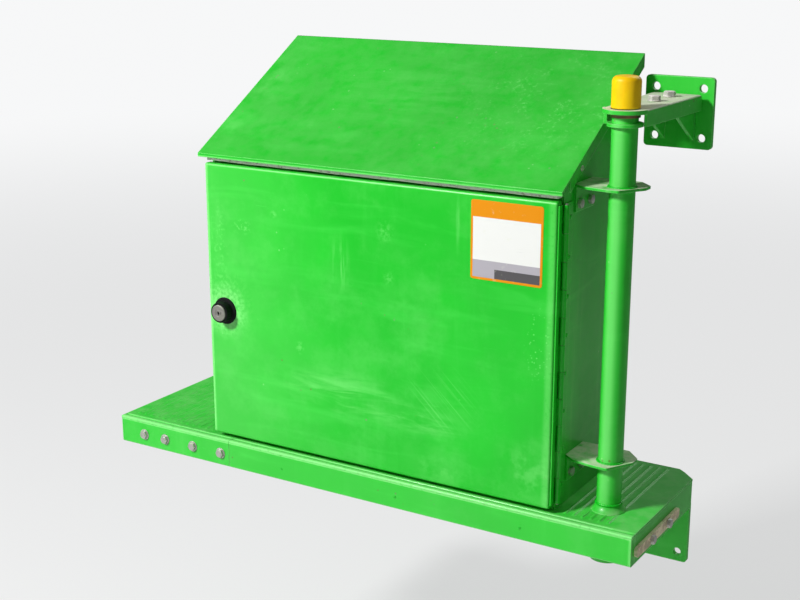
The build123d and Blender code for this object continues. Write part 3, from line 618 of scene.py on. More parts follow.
def rounded_ring(half_w, half_h, corner, profile, side_steps, corner_steps):
    """Profile carried round a rounded rectangle.

    The outline is a smaller rectangle p plus the corner radius times its outward direction n. A profile point
    (d, y) lies d inside the outline and at depth y: p shrinks in proportion to the room that is left, and the
    corner radius shrinks by d until it is gone."""
    quarter = np.linspace(0.0, 90.0, corner_steps + 1)
    along = (np.linspace(-1.0, 1.0, side_steps, endpoint=False)[1:] + 1.0) / 2.0
    signs = ((1, 1), (-1, 1), (-1, -1), (1, -1))
    p, angles = [], []
    for k, (sx, sz) in enumerate(signs):
        nx, nz = signs[(k + 1) % 4]
        p += [(sx, sz)] * len(quarter) + [(sx + (nx - sx) * m, sz + (nz - sz) * m) for m in along]
        angles += list(quarter + 90.0 * k) + [90.0 * (k + 1)] * len(along)
    turn = np.radians(angles)
    direction = np.stack((np.cos(turn), np.sin(turn)), -1)
    d = np.array([point[0] for point in profile])[:, None, None]
    depth = np.array([point[1] for point in profile])[:, None]
    room = np.array([half_w - corner, half_h - corner]) - np.maximum(d - corner, 0.0)
    flat = np.array(p, float)[None] * room + direction[None] * np.maximum(corner - d, 0.0)
    return flat[..., 0], flat[..., 1], depth + 0.0 * flat[..., 0]


def upright(ring, middle, front, wave=False, wrap_rows=False):
    """Shell of a rounded ring that stands round a middle in X and Z, with its depth behind the front in Y."""
    x, z = ring[0] + middle[0], ring[1] + middle[2]
    y = front + ring[2] + (door_wave(x, z) if wave else 0.0)
    return shell(np.stack((x, y, z), -1), wrap_rows)


def bead(path, radius):
    """Weld bead: a tube along a path, whose radius at distance s is r (1 + a sin(2 pi s / pitch))."""
    pitch, ripple, sides = 4.0 * MM, 0.10, 8
    path = np.array(path, float)
    s = np.concatenate(([0.0], np.cumsum(np.linalg.norm(np.diff(path, axis=0), axis=1))))
    even = np.linspace(0.0, s[-1], max(8, int(s[-1] / (pitch / 4.0))))
    line = np.stack([np.interp(even, s, path[:, k]) for k in range(3)], -1)
    forward = np.gradient(line, axis=0)
    forward /= np.linalg.norm(forward, axis=1, keepdims=True)
    helper = np.where(np.abs(forward[:, 2:]) > 0.9, [[1.0, 0.0, 0.0]], [[0.0, 0.0, 1.0]])
    side = np.cross(forward, helper)
    side /= np.linalg.norm(side, axis=1, keepdims=True)
    other = np.cross(side, forward)
    end_taper = rise(np.minimum(even, s[-1] - even), radius) ** 0.5
    size = radius * (1.0 + ripple * np.sin(2.0 * math.pi * even / pitch)) * end_taper
    turn = full_turn(sides)[None, :, None]
    ring = side[:, None] * np.cos(turn) + other[:, None] * np.sin(turn)
    return shell(line[:, None] + ring * size[:, None, None])


def round_post(z, radius, start=0.0, end=360.0):
    """Points round part of a level circle about the post."""
    return polar(radius, np.radians(np.linspace(start, end, 60)), z) + np.array([POST_X, POST_Y, 0.0])


def hex_head(apothem, height, steps, both=False):
    """Hexagon whose corners are turned off by a cone: the side ends where the cone of 30 degrees meets it.

    Its side is at apothem / cos(t) from the middle, where t is the angle from the nearest flat's middle."""
    turn = full_turn(steps)
    sixth = math.pi / 3.0
    wide = apothem / np.cos((turn + sixth / 2.0) % sixth - sixth / 2.0)
    flat = 0.94 * apothem
    fall = (wide - flat) * math.tan(math.radians(30.0))
    rows = ((0.0, 0.0), (flat if both else wide, 0.0), (wide, fall if both else 0.0), (wide, height - fall),
            (flat, height), (0.0, height))
    return np.stack([polar(radius, turn, z) for radius, z in rows])


def threaded_rod(radius, z0, z1, pitch):
    """Rod with a helical thread: the radius is r - h w, with w a triangle wave of z / pitch - t / 2 pi."""
    turn = full_turn(24)
    depth = 0.54 * pitch
    z = np.linspace(z0, z1, max(3, int(abs(z1 - z0) / (pitch / 6.0))))[:, None]
    phase = (z / pitch - turn / (2.0 * math.pi)) % 1.0
    body = polar(radius - depth * np.abs(2.0 * phase - 1.0), turn, z)
    return np.concatenate((polar(0.0, turn, z0)[None], body, polar(0.0, turn, z1)[None]))


def washer(inner, outer, thickness):
    """Flat ring with softened rims, from its underside at z = 0."""
    soft = 0.25 * thickness
    profile = [(inner, soft), (inner + soft, 0.0), (outer - soft, 0.0), (outer, soft),
               (outer, thickness - soft), (outer - soft, thickness), (inner + soft, thickness), (inner, thickness - soft)]
    return turned(profile, 40)


def dome(radius, height, steps=28, count=7):
    """Low round head: z = h sqrt(1 - (r / R)^2) over a flat underside."""
    share = np.sin(np.linspace(0.0, math.pi / 2.0, count))
    profile = [(0.0, 0.0)] + [(radius * k, height * math.sqrt(max(0.0, 1.0 - k * k))) for k in share[::-1]]
    return turned(profile, steps)


def bolt(origin, outward, measures):
    """Shells of one bolt: head, shank, nut and threaded tip, with a washer under the head if it has one.

    The measures in millimetres are the width across flats, the head's height, the shank's radius, the grip,
    the nut's height, the tip's length past it, and the washer's radius and thickness."""
    flats, head, shank, grip, nut, tip, washer_r, washer_t = (value * MM for value in measures)
    side = (0.0, 0.0, 1.0) if abs(outward[2]) < 0.5 else (1.0, 0.0, 0.0)
    steps = sizes().bolt_sides
    parts = []
    if washer_r > 0.0:
        parts.append((washer(shank, washer_r, washer_t), 0.0, True))
    stem = [(0.0, 0.0), (shank, 0.0), (shank, -grip - washer_t), (0.0, -grip - washer_t)]
    parts += [(hex_head(flats / 2.0, head, steps), washer_t, False), (turned(stem, 32), washer_t, False)]
    if nut > 0.0:
        rod = threaded_rod(shank, -tip, 0.2 * MM, sizes().thread_pitch)
        parts += [(hex_head(flats / 2.0, nut, steps, True), -grip - nut, False), (rod, -grip - nut, False)]
    return [seated(points + np.array([0.0, 0.0, lift]), origin, side, outward, closed)
            for points, lift, closed in parts]


def edge_drop(distance, radius):
    """Height lost towards a rounded edge: r - sqrt(r^2 - (r - d)^2) for distances d under the radius r."""
    inside = np.clip(radius - distance, 0.0, radius)
    return radius - np.sqrt(radius * radius - inside * inside)


def spaced(start, end, step, fine, fine_step):
    """Sorted places from start to end: coarse steps, fine ones in the given stretches and near both ends."""
    edge, edge_step = 3.0 * MM, 0.5 * MM
    places = [np.arange(start, end, step), np.arange(start, start + edge, edge_step),
              np.arange(end - edge, end, edge_step), [end]]
    places += [np.arange(low, high, fine_step) for low, high in fine]
    places = np.unique(np.round(np.concatenate(places), 7))
    return places[(places >= start) & (places <= end)]


def lidded(x, y, top, bottom):
    """Closed plate over a grid of x and y places, with a varying top and a flat underside."""
    rows, columns = x.shape
    upper = np.stack((x, y, top), -1).reshape(-1, 3)
    lower = np.stack((x, y, np.full(x.shape, bottom)), -1).reshape(-1, 3)
    faces = grid_faces(rows, columns)
    rim = np.concatenate((np.arange(columns), np.arange(1, rows) * columns + columns - 1,
                          (rows - 1) * columns + np.arange(columns - 2, -1, -1),
                          np.arange(rows - 2, 0, -1) * columns))
    after = np.roll(rim, -1)
    count = rows * columns
    walls = np.stack((rim, after, after + count, rim + count), -1)
    return np.concatenate((upper, lower)), np.concatenate((faces, faces[:, ::-1] + count, walls))


# Materials and carried-over parts

MATERIALS = {}


def finish(name):
    """The material of that name, made the first time it is asked for."""
    c = colours()
    yellow_shade = (c.cap[0] * 0.95, c.cap[1] * 0.78, 0.0)
    # An enamel's values: dust, wear, rounded edge in mm, marks and painted highlights, fade, cover and depth
    makers = {
        "door_enamel": (green_paint, 0.10, 0.55, 2.5, door_marks_and_highlights),
        "roof_enamel": (green_paint, 0.05, 0.45, 2.2, roof_marks_and_highlights, 0.04, 0.20, 0.92),
        "locker_enamel": (green_paint, 0.20, 0.45, 1.8),
        "platform_enamel": (green_paint, 0.11, 0.65, 2.4, platform_highlights_and_wear, 0.12, 0.30, 1.06),
        "post_enamel": (green_paint, 0.16, 0.65, 1.8, post_highlight, 0.08),
        "lug_enamel": (green_paint, 0.85, 0.85, 1.8, None, 0.10, 0.20),
        "collar_enamel": (green_paint, 0.40, 0.85, 1.8, None, 0.10),
        "arm_enamel": (green_paint, 0.92, 0.85, 1.8, None, 0.10, 0.08),
        "small_enamel": (green_paint, 0.25, 0.50, 0.5),
        "weld_enamel": (weld_metal,),
        "zinc_plate": (plated_steel, c.zinc, 0.80),
        "dusty_zinc": (plated_steel, c.zinc, 2.0, 0.45, c.chalk),
        # Strap tone lifted to stand in for sunlight on the strap: painted light
        "muddy_zinc": (plated_steel, toned(c.strap_mud_and_light, 0.6), 3.4, 0.6, c.strap_mud_and_light),
        "bronze_bush": (plated_steel, c.bronze, 0.2, 0.3),
        "lock_face": (plated_steel, c.lock, 0.5, 0.42),
        "cap_plastic": (moulded_plastic, c.cap, yellow_shade, 0.36, 0.3),
        "latch_plastic": (moulded_plastic, c.black, toned(c.black, 1.8), 0.50, 0.10),
        "seal_rubber": (foam_rubber, c.rubber, 0.25),
        "strip_foam": (flaked_foam,),
    }
    if name not in MATERIALS:
        maker, *values = makers[name]
        MATERIALS[name] = maker(name, *values)
    return MATERIALS[name]


NODE_FINISHES = {
    "door_enamel": ("door_skin", "door_stiffener"),
    "roof_enamel": ("roof",),
    "locker_enamel": ("side_panels", "back_panel", "floor_panel", "front_frame"),
    "platform_enamel": ("platform_frame", "extension_frame", "cross_members", "pivot_doubler", "tread_plate",
                        "tread_extension", "splice_bar", "base_ring", "lower_arm", "wall_bracket"),
    "post_enamel": ("post", "stop_ring"),
    "lug_enamel": ("lower_lug", "upper_lug"),
    "arm_enamel": ("upper_arm",),
    "small_enamel": ("hinge_leaf_locker", "hinge_leaf_door"),
    "zinc_plate": ("splice_bolts", "lug_bolts", "pivot_pin", "hinge_pin", "latch_cam", "thrust_washer",
                   "arm_bolts"),
    "muddy_zinc": ("end_strap",),
    "dusty_zinc": ("strap_bolts",),
    "bronze_bush": ("upper_bush", "lower_bush"),
    "cap_plastic": ("post_cap",),
    "latch_plastic": ("latch",),
    "seal_rubber": ("door_seal",),
    "strip_foam": ("weather_strip",),
}


class LOCKER_OT_finish_nodes(bpy.types.Operator):
    """Give every carried-over part its own finish"""

    bl_idname = "locker.finish_nodes"
    bl_label = "Finish the carried-over parts"

    def execute(self, context):
        for name, members in NODE_FINISHES.items():
            for node in members:
                NODES[node].data.materials.clear()
                NODES[node].data.materials.append(finish(name))
        return {"FINISHED"}


def door_wave(x, z):
    """Small departure of the door's face from a plane: a sum of slow sines that is 0 on the door's edges."""
    u = (x - DOOR_LOW[0]) / (DOOR_HIGH[0] - DOOR_LOW[0])
    v = (z - DOOR_LOW[2]) / (DOOR_HIGH[2] - DOOR_LOW[2])
    still = np.clip(16.0 * u * (1.0 - u) * v * (1.0 - v), 0.0, 1.0)
    wave = np.sin(3.1 * math.pi * u + 0.6) * np.cos(2.3 * math.pi * v) + 0.6 * np.sin(5.2 * math.pi * v + 1.1)
    return sizes().door_wave * still * wave


class LOCKER_OT_door_panel(bpy.types.Operator):
    """Door pan: one sheet bent back round all four sides"""

    bl_idname = "locker.door_panel"
    bl_label = "Door panel"

    def execute(self, context):
        s = sizes()
        middle, (half_w, half_depth, half_h) = span("door_skin")
        deep = 2.0 * half_depth
        r, t = s.door_edge, s.door_sheet
        inward = [d + r for d in half_h * np.linspace(1.0, 0.0, 30)[:-1] ** 1.3 if d + r <= half_h]
        profile = [(half_h, 0.0), *((d, 0.0) for d in inward), *arc((r, r), r, 270, 180, 8)]
        profile += [(0.0, deep - 0.3 * t), (0.3 * t, deep), (0.7 * t, deep), (t, deep - 0.3 * t)]
        profile += [*arc((r, r), r - t, 180, 270, 6), *((d, t) for d in inward[::-1]), (half_h, t)]
        ring = rounded_ring(half_w, half_h, s.door_corner, profile, 40, 6)
        piece = make_piece("door_panel", [upright(ring, middle, DOOR_LOW[1], wave=True)],
                           finish("door_enamel"), "door")
        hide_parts("door_skin")
        return {"FINISHED"}


class LOCKER_OT_label_plate(bpy.types.Operator):
    """Blank coloured plate near the door's upper right corner"""

    bl_idname = "locker.label_plate"
    bl_label = "Label plate"

    def execute(self, context):
        s = sizes()
        high = np.array([DOOR_HIGH[0] - s.label_right, DOOR_LOW[1], DOOR_HIGH[2] - s.label_drop])
        low = high - np.array([s.label_width, 0.0, s.label_height])
        half_w, half_h = s.label_width / 2.0, s.label_height / 2.0
        thick, corner = 0.5 * MM, 4.0 * MM
        profile = [(half_w, -thick), (half_w * 0.6, -thick), (half_w * 0.25, -thick), (2.0 * MM, -thick),
                   (0.3 * MM, -0.9 * thick), (0.0, -0.4 * thick), (0.0, thick), (half_w, thick)]
        ring = rounded_ring(half_w, half_h, corner, profile, 24, 8)
        make_piece("label_plate", [upright(ring, (low + high) / 2.0, DOOR_LOW[1], wave=True)],
                   printed_plate("label_print", low, high), "door")
        return {"FINISHED"}


class LOCKER_OT_latch_set(bpy.types.Operator):
    """Latch: round flange, round grip that tapers, and a lock face with its key slot"""

    bl_idname = "locker.latch_set"
    bl_label = "Latch"

    def execute(self, context):
        middle, half = span("latch")
        front = (DOOR_LOW[1] - middle[1]) / MM
        flange_r, reach, back = half[0] / MM, front + half[1] / MM, front - half[1] / MM
        grip_r, lock_r, rim = 17.9, 13.8, 1.6
        top_r, top = grip_r - 0.5, reach - 2.0
        flange = [(0, 0), (flange_r, 0), (flange_r, 1), (flange_r - 0.5, 1.9), (flange_r - 2, 2.7),
                  (flange_r - 4, 3), (0, 3)]
        grip = [(0, 2.6), (grip_r, 2.6), (grip_r - 0.3, 9), (top_r, top - rim),
                *arc((top_r - rim, top - rim), rim, 10, 90, 5),
                (lock_r + 0.4, top), (lock_r + 0.2, top - 1.2), (0, top - 1.2)]
        body = [(0, 0.5), (9.5, 0.5), (9.5, back), (0, back)]
        lock = [(0, reach - 4), (lock_r, reach - 4), (lock_r, reach - 1), (lock_r - 0.9, reach - 0.3),
                (6.2, reach - 0.1), (5.8, reach - 0.9), (5.2, reach - 0.9), (4.9, reach), (2.6, reach),
                (2.4, reach - 0.3), (2.2, reach - 1.6), (0, reach - 1.7)]
        fluted = turned(grip, 96)
        flutes, flute_depth = 12.0, 0.03
        wave = np.clip(np.cos(flutes * full_turn(96)), 0.0, 1.0)[None, :, None] ** 4
        fluted[1:4, :, :2] *= 1.0 - flute_depth * wave
        groove = [(0.8, 0), (0.15, 0), (0, 0.15), (0, 1.6), (0.8, 1.6)]
        x, z, depth = rounded_ring(0.8, 4.2, 0.6, groove, 6, 4)
        slot = np.stack((x, z, reach + 0.05 - depth), -1)
        parts = (
            ("latch_grip", "latch_plastic", "black_plastic", (turned(flange, 96), fluted, turned(body, 48))),
            ("latch_lock", "lock_face", "zinc_steel", (turned(lock, 72),)),
            ("latch_slot", "latch_plastic", "black_plastic", (slot,)))
        origin, side, out = (middle[0], DOOR_LOW[1], middle[2]), (1, 0, 0), (0, -1, 0)
        for name, material, record_slot, surfaces in parts:
            shells = [seated(points * MM, origin, side, out) for points in surfaces]
            piece = make_piece(name, shells, finish(material), "door")
            if name == "latch_grip":
                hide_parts("latch")
        return {"FINISHED"}


class LOCKER_OT_seals(bpy.types.Operator):
    """Bulb seal round the opening and the foam strip over the door"""

    bl_idname = "locker.seals"
    bl_label = "Seals"

    def execute(self, context):
        middle, half = span("door_seal")
        r = 3.5 * MM
        bulb = arc((r, r), r, 0.0, 360.0, 21)[:-1]
        bulb[:, 1] = np.where(bulb[:, 1] > r, half[1] + (bulb[:, 1] - r) * 1.05, bulb[:, 1])
        ring = rounded_ring(half[0], half[2], 10.0 * MM, bulb, 40, 10)
        seal = make_piece("door_bulb_seal", [upright(ring, middle, middle[1] - half[1], wrap_rows=True)],
                          finish("seal_rubber"), "platform")
        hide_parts("door_seal")
        middle, half = span("weather_strip")
        along = np.linspace(0.0, 1.0, 160)[:, None]
        turn = full_turn(32)
        squareness, wobble = 0.35, 0.4 * MM
        sag = wobble * np.sin(11.0 * math.pi * along) * np.sin(4.0 * math.pi * along + 0.5)
        wide, tall = [np.sign(wave) * np.abs(wave) ** squareness for wave in (np.cos(turn), np.sin(turn))]
        x = middle[0] - half[0] + 2.0 * half[0] * along
        y, z = middle[1] + half[1] * wide, middle[2] + (half[2] - wobble) * tall + sag
        body = np.stack(np.broadcast_arrays(x, y, z), -1)
        ends = [np.repeat(body[k].mean(0)[None], len(turn), 0)[None] for k in (0, -1)]
        strip = make_piece("door_foam_strip", [shell(np.concatenate((ends[0], body, ends[1])))],
                           finish("strip_foam"), "platform")
        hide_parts("weather_strip")
        return {"FINISHED"}


def tread(x_low, x_high, cut, rib_from, rib_to, groove_from, groove_to):
    """Tread plate as a height over the plan: flat top, rounded edges, a groove along the front and low ribs.

    A rib's height is h (1 - |2 (x - x_rib) / w|^3) inside its width and fades out at its two ends."""
    s = sizes()
    y_low, y_high = TREAD_LOW[1], TREAD_HIGH[1]
    groove_y, groove_half, groove_depth = y_low + 9.0 * MM, 2.3 * MM, 2.0 * MM
    rib_front, rib_back, rib_fade = y_low + 25.0 * MM, y_high - 12.0 * MM, 3.0 * MM
    fine_x = [(rib_from - s.rib_width, rib_to + s.rib_width)]
    fine_y = [(groove_y - 1.5 * MM, groove_y + 5.5 * MM), (rib_front - 2.0 * MM, rib_front + 4.0 * MM),
              (rib_back - 3.0 * MM, rib_back + 2.0 * MM)]
    xs = spaced(x_low, x_high, 12.0 * MM, fine_x, 0.85 * MM)
    ys = spaced(y_low, y_high, 9.0 * MM, fine_y, 0.6 * MM)
    limit = np.where(xs > x_high - cut, y_high - (xs - (x_high - cut)), y_high)[:, None]
    x = np.repeat(xs[:, None], len(ys), 1)
    y = y_low + (ys - y_low) / (y_high - y_low) * (limit - y_low)
    top = TREAD_TOP - edge_drop(np.minimum(y - y_low, limit - y), 1.8 * MM)
    in_groove = np.clip(1.0 - np.abs((y - groove_y - 2.0 * MM) / groove_half) ** 4, 0.0, 1.0)
    top = top - groove_depth * in_groove * rise(x - groove_from, MM) * rise(groove_to - x, MM)
    count = int((rib_to - rib_from - 4.0 * MM) // s.rib_pitch) + 1
    first = (rib_from + rib_to) / 2.0 - (count - 1) * s.rib_pitch / 2.0
    nearest = first + np.clip(np.round((x - first) / s.rib_pitch), 0, count - 1) * s.rib_pitch
    across = np.clip(1.0 - np.abs(2.0 * (x - nearest) / s.rib_width) ** 3, 0.0, 1.0)
    ends = (rise(y - rib_front, rib_fade) * rise(rib_back - y, rib_fade)
            * rise(limit - 8.0 * MM - y, rib_fade))
    clear_of_post = rise(np.hypot(x - POST_X, y - POST_Y) - 28.0 * MM, 2.0 * MM)
    top = top + RIB_HEIGHT * across * np.sqrt(ends) * clear_of_post
    return lidded(x, y, top, TREAD_LOW[2])


class LOCKER_OT_treads(bpy.types.Operator):
    """Two tread plates with rolled edges, a front groove and low ribs"""

    bl_idname = "locker.treads"
    bl_label = "Tread plates"

    def execute(self, context):
        margin, groove_end, cut = 12.0 * MM, 6.0 * MM, 30.0 * MM
        plates = (
            ("tread_main", "tread_plate", TREAD_LOW[0], TREAD_HIGH[0], cut, DOOR_HIGH[0] + margin,
             TREAD_HIGH[0] - cut - margin, TREAD_LOW[0], TREAD_HIGH[0] - groove_end),
            ("tread_left", "tread_extension", EXTENSION_LOW[0], EXTENSION_HIGH[0], 0.0,
             EXTENSION_LOW[0] + margin, DOOR_LOW[0] - margin, EXTENSION_LOW[0] + groove_end,
             EXTENSION_HIGH[0]))
        for name, node, *shape in plates:
            enamel = finish("platform_enamel")
            piece = make_piece(name, [tread(*shape)], enamel, "platform", 50.0)
            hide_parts(node)
        return {"FINISHED"}


class LOCKER_OT_post_fittings(bpy.types.Operator):
    """Moulded cap on the post and the flared collar at its foot"""

    bl_idname = "locker.post_fittings"
    bl_label = "Post cap and collar"

    def execute(self, context):
        on_post = np.array([POST_X, POST_Y, 0.0])
        low, high = corners("post_cap")
        r, low, high = (high[0] - low[0]) / 2.0, low[2], high[2]
        shoulder, crown, play = sizes().cap_shoulder, 1.2 * MM, 0.3 * MM
        tube_top, bore, foot = POST_TOP + play, POST_R + play, r + 0.25 * MM
        top = [(k * (r - shoulder) / 4.0, high - crown * (k / 4.0) ** 2) for k in (1, 2, 3)]
        profile = [(0.0, high), *top]
        profile += [*arc((r - shoulder, high - crown - shoulder), shoulder, 90, 4, 9), (r, low + 12.0 * MM),
                    (r, low + 4.0 * MM), (foot, low + 2.0 * MM), (foot, low + 0.4 * MM), (r - 0.1 * MM, low),
                    (bore + 0.2 * MM, low), (bore, low + 0.3 * MM), (bore, tube_top), (0.0, tube_top)]
        cap = make_piece("cap_moulding", [shell(turned(profile, 72) + on_post)], finish("cap_plastic"),
                         "platform")
        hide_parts("post_cap")
        low, high = corners("base_ring")
        foot, neck, inner = (high[0] - low[0]) / 2.0, POST_R + 0.6 * MM, POST_R + 0.05 * MM
        flare = np.linspace(0.0, 1.0, 10)
        rows = zip(neck + (foot - neck) * (1.0 - flare) ** 1.7, low[2] + (high[2] - low[2]) * flare)
        collar = turned([(inner, low[2]), *rows, (inner, high[2])], 72) + on_post
        piece = make_piece("base_collar", [shell(collar, wrap_rows=True)], finish("collar_enamel"),
                           "platform")
        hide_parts("base_ring")
        return {"FINISHED"}


def solid_places(node, axis, gap=5.0 * MM):
    """Middle of each separate solid of a CAD node, from the gaps between its vertices along one axis."""
    co = np.empty(len(NODES[node].data.vertices) * 3)
    NODES[node].data.vertices.foreach_get("co", co)
    co = co.reshape(-1, 3)
    order = np.argsort(co[:, axis])
    jumps = np.nonzero(np.diff(co[order, axis]) > gap)[0] + 1
    return [(group.min(0) + group.max(0)) / 2.0 for group in np.split(co[order], jumps)]


class LOCKER_OT_bolts(bpy.types.Operator):
    """Hexagon bolts with turned corners, washers, nuts and threaded tips"""

    bl_idname = "locker.bolts"
    bl_label = "Bolts"

    def execute(self, context):
        arm_bolt = (16, 6.4, 5, 14, 8, 2, 10, 2)
        splice_bolt = (13, 4.5, 4, 9, 0, 0, 9.5, 1)
        small_bolt = (13, 5.5, 4, 8, 6.5, 2, 0, 0)
        lug_x = corners("lower_lug")[0][0] + 4.0 * MM
        strap_x = corners("end_strap")[1][0]
        lug_heights = [middle[2] for middle in solid_places("lug_bolts", 2, 100.0 * MM)]
        sets = (
            ("arm_bolt_set", "arm_bolts", "root", "dusty_zinc", (0, 0, 1), arm_bolt,
             [(x, y, ARM_TOP) for x, y, _ in solid_places("arm_bolts", 1)]),
            ("splice_bolt_set", "splice_bolts", "platform", "zinc_plate", (0, -1, 0), splice_bolt,
             [(x, RAIL_LOW[1], z) for x, _, z in solid_places("splice_bolts", 0)]),
            ("lug_bolt_set", "lug_bolts", "platform", "zinc_plate", (1, 0, 0), small_bolt,
             [(lug_x, y, z) for z in lug_heights for _, y, _ in solid_places("lug_bolts", 1)]),
            ("strap_bolt_set", "strap_bolts", "platform", "dusty_zinc", (1, 0, 0), small_bolt,
             [(strap_x, y, z) for _, y, z in solid_places("strap_bolts", 1)]))
        for name, node, body, material, outward, measures, seats in sets:
            shells = [part for seat in seats for part in bolt(seat, outward, measures)]
            piece = make_piece(name, shells, finish(material), body, 40.0)
            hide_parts(node)
        return {"FINISHED"}


class LOCKER_OT_rivets(bpy.types.Operator):
    """Pop rivets along the locker's seams and the hinge, and the screws of the roof"""

    bl_idname = "locker.rivets"
    bl_label = "Rivets and screws"

    def execute(self, context):
        left, right = SIDE_LOW[0], SIDE_HIGH[0]
        back = corners("back_panel")[1][1]
        leaf_low, leaf_high = corners("hinge_leaf_locker")
        seam = 9 * MM
        heads = []
        for z in np.arange(TREAD_TOP + 40 * MM, SIDE_HIGH[2] - 60 * MM, 85 * MM):
            heads += [((left, back - seam, z), (-1, 0, 0)), ((right, back - seam, z), (1, 0, 0))]
        for x in np.arange(left + 45 * MM, right - 20 * MM, 91 * MM):
            heads.append(((x, back, TREAD_TOP + 14 * MM), (0, 1, 0)))
        for z in np.arange(leaf_low[2] + 22 * MM, leaf_high[2], 59.4 * MM):
            heads.append(((right + 2 * MM, leaf_high[1] - seam, z), (1, 0, 0)))
        rivet = dome(sizes().rivet, 1.8 * MM)
        make_piece("wall_rivets", [seated(rivet, spot, (0, 0, 1), out) for spot, out in heads],
                   finish("small_enamel"), "platform")
        screw = dome(4.6 * MM, 2.6 * MM)
        screws = []
        for side, out in ((ROOF_LOW[0], -1), (ROOF_HIGH[0], 1)):
            for y in (-232 * MM, -96 * MM):
                z = ROOF_HIGH[2] - (ROOF_HIGH[1] - y) * math.tan(ROOF_SLOPE) - 14 * MM
                screws.append(seated(screw, (side, y, z), (0, 0, 1), (out, 0, 0)))
        make_piece("roof_screws", screws, finish("zinc_plate"), "platform")
        return {"FINISHED"}


class LOCKER_OT_welds(bpy.types.Operator):
    """Weld beads where the post, lugs, arms and cross members meet"""

    bl_idname = "locker.welds"
    bl_label = "Welds"

    def execute(self, context):
        r = sizes().weld
        lug_t, rail_middle = 4 * MM, RAIL_LOW[2] + 0.45 * (RAIL_HIGH[2] - RAIL_LOW[2])
        rings = []
        for lug in ("lower_lug", "upper_lug"):
            top = corners(lug)[1][2]
            rings += [(top, 0.3, 0.8), (top - lug_t, 0.3, 0.8)]
        rings += [(corners("stop_ring")[0][2], 0.2, 0.6), (corners("base_ring")[1][2], 0.2, 0.7),
                  (corners("pivot_doubler")[1][2], 0.3, 1.0)]
        moving = [bead(round_post(z, POST_R + lift * r), size * r) for z, lift, size in rings]
        low, high = corners("cross_members")
        for middle in solid_places("cross_members", 0, 60 * MM):
            x = middle[0] - 18 * MM
            for y in (low[1] + 0.4 * r, high[1] - 0.4 * r):
                moving.append(bead([(x, y, low[2] + 3 * MM), (x, y, high[2] - 3 * MM)], 0.8 * r))
        plug = dome(2.6 * MM, 0.9 * MM, 20, 5)
        moving += [seated(plug, (x, RAIL_LOW[1], rail_middle), (1, 0, 0), (0, -1, 0))
                   for x in (-560 * MM, -335 * MM, -112 * MM)]
        make_piece("platform_welds", moving, finish("weld_enamel"), "platform", 60.0)
        plate_y = corners("wall_bracket")[1][1] - 8 * MM
        tongue_top, tongue_half, tongue_t = ARM_TOP - 6 * MM, 26 * MM, 8 * MM
        web_top, boss, web_t = corners("lower_arm")[1][2] - 4 * MM, 27 * MM, 10 * MM
        # Each joint: half width, top and thickness of its level beads; place, start and drop of its upright ones
        joints = ((tongue_half, tongue_top, tongue_t, tongue_half, tongue_top, 64 * MM),
                  (boss, web_top, web_t, 4 * MM, web_top - 12 * MM, 58 * MM))
        fixed = []
        for half, top, thick, side, start, drop in joints:
            fixed += [bead([(-half, plate_y, z), (half, plate_y, z)], r) for z in (top, top - thick)]
            fixed += [bead([(x, plate_y, start), (x, plate_y, start - drop)], 0.8 * r) for x in (-side, side)]
        fixed.append(bead(round_post(web_top, boss, -20, 200), 0.8 * r))
        make_piece("arm_welds", fixed, finish("weld_enamel"), "root", 60.0)
        return {"FINISHED"}


# Stage

CAMERA_AT = (740 * MM, -2045 * MM, 286 * MM)
CAMERA_AIM = (-392 * MM, -190 * MM, -314 * MM)
LENS = 62.0
GROUND = -1134 * MM
PALE = (0.93, 0.935, 0.94)
WORLD_LIGHT = 0.085
FLOOR_GLOW = 0.62
LAMPS = (
    ("key_lamp", (-1.60, -2.85, 2.36), 0.6, 190.0),
    ("fill_lamp", (2.6, -1.9, 1.0), 2.2, 4.0),
    ("back_lamp", (0.6, 2.8, 2.4), 2.0, 36.0))


def aimed(target, start):
    """Rotation that points a lamp or camera from its start to a target."""
    return (Vector(target) - Vector(start)).to_track_quat("-Z", "Y").to_euler()


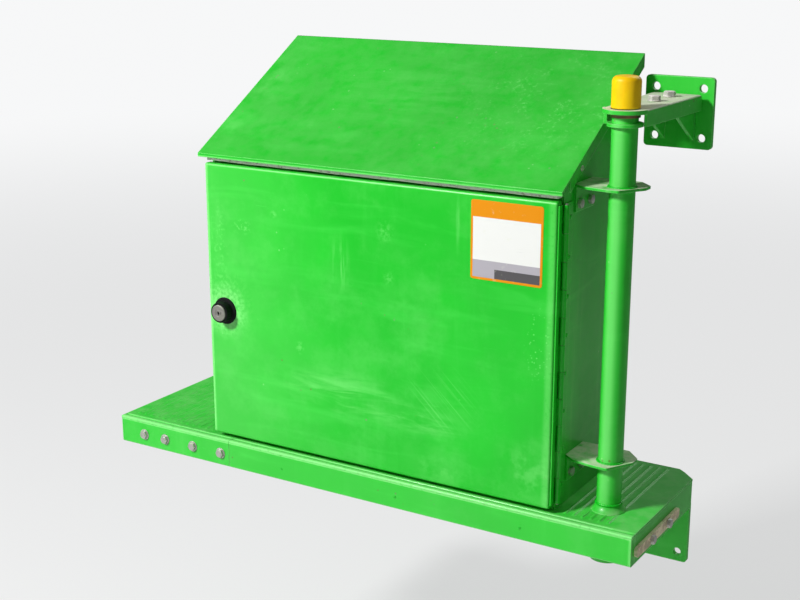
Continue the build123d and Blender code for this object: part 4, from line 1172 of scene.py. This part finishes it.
class LOCKER_OT_stage(bpy.types.Operator):
    """Pale floor, soft lamps and the camera"""

    bl_idname = "locker.stage"
    bl_label = "Stage"

    def execute(self, context):
        scene = context.scene
        scene.view_settings.view_transform = "Standard"
        self.floor()
        for name, offset, size, power in LAMPS:
            data = bpy.data.lights.new(name, "AREA")
            data.size = size
            data.energy = power
            lamp = bpy.data.objects.new(name, data)
            lamp.location = (CAD_BOX[0] + CAD_BOX[1]) / 2 + Vector(offset)
            lamp.rotation_euler = aimed((0.0, 0.0, 0.0), offset)
            scene.collection.objects.link(lamp)
        world = bpy.data.worlds.new("studio")
        scene.world = world
        world.use_nodes = True
        tree = world.node_tree
        camera_ray, glossy, through = [Flow(tree).node("ShaderNodeLightPath", output=output) for output in
                                       ("Is Camera Ray", "Is Glossy Ray", "Is Transmission Ray")]
        strength = WORLD_LIGHT + (camera_ray + through).clamped() * (1.0 - WORLD_LIGHT) + glossy * 0.05
        background = tree.nodes["Background"]
        background.inputs["Color"].default_value = (*PALE, 1.0)
        tree.links.new(strength.socket, background.inputs["Strength"])
        camera = bpy.data.objects.new("camera", bpy.data.cameras.new("camera"))
        camera.data.lens = LENS
        camera.location = CAMERA_AT
        camera.rotation_euler = aimed(CAMERA_AIM, CAMERA_AT)
        scene.collection.objects.link(camera)
        scene.camera = camera
        return {"FINISHED"}

    def floor(self):
        """Pale floor at the height of the ground below the machine."""
        half = 30.0
        mesh = bpy.data.meshes.new("floor")
        plan = ((-half, -half), (half, -half), (half, half), (-half, half))
        mesh.from_pydata([(x, y, GROUND) for x, y in plan], [], [(0, 1, 2, 3)])
        material, shader, place = new_material("floor_sheet")
        tone = colours().floor
        clouds = (place.noise(3.0, 3.0, 0.5) * 0.3).over(tone, toned(tone, 0.96))
        feed(shader, Base_Color=clouds, Roughness=0.85)
        seen = place.node("ShaderNodeLightPath", output="Is Camera Ray")
        glossy = place.node("ShaderNodeLightPath", output="Is Glossy Ray")
        away = 1.0 - place.near((0.0, 0.0, GROUND / MM), (9000.0, 9000.0, 9000.0))
        share = (seen * (FLOOR_GLOW + away * (1.0 - FLOOR_GLOW)) + glossy * 0.06).clamped()
        tree = material.node_tree
        glow = place.node("ShaderNodeEmission", {"Color": (*PALE, 1.0)})
        blend = place.node("ShaderNodeMixShader", {0: share, 1: Flow(tree, shader.outputs[0]), 2: glow})
        tree.links.new(blend.socket, tree.nodes["Material Output"].inputs["Surface"])
        mesh.materials.append(material)
        floor = bpy.data.objects.new("floor", mesh)
        bpy.context.scene.collection.objects.link(floor)


OPERATORS = (LOCKER_OT_finish_nodes, LOCKER_OT_door_panel, LOCKER_OT_label_plate, LOCKER_OT_latch_set,
             LOCKER_OT_seals, LOCKER_OT_treads, LOCKER_OT_post_fittings, LOCKER_OT_bolts, LOCKER_OT_rivets,
             LOCKER_OT_welds, LOCKER_OT_stage)


class LOCKER_PT_panel(bpy.types.Panel):
    """Sidebar list of the locker's sizes, colours and pieces"""

    bl_idname = "LOCKER_PT_panel"
    bl_label = "Tool locker"
    bl_space_type = "VIEW_3D"
    bl_region_type = "UI"
    bl_category = "Locker"

    def draw(self, context):
        column = self.layout.column(align=True)
        for group in (context.scene.locker_sizes, context.scene.locker_colours):
            for name in group.__annotations__:
                column.prop(group, name)
            column.separator()
        for operator in OPERATORS:
            column.operator(operator.bl_idname)


CLASSES = (LockerSizes, LockerColours, *OPERATORS, LOCKER_PT_panel)


def register():
    """Make the classes and the scene's settings known."""
    for cls in CLASSES:
        bpy.utils.register_class(cls)
    bpy.types.Scene.locker_sizes = PointerProperty(type=LockerSizes)
    bpy.types.Scene.locker_colours = PointerProperty(type=LockerColours)


def unregister():
    """Take the settings and classes away again."""
    del bpy.types.Scene.locker_colours
    del bpy.types.Scene.locker_sizes
    for cls in reversed(CLASSES):
        bpy.utils.unregister_class(cls)


def main():
    """Build every piece in order."""
    register()
    for operator in OPERATORS:
        group, name = operator.bl_idname.split(".")
        getattr(getattr(bpy.ops, group), name)()


if __name__ == "__main__":
    main()
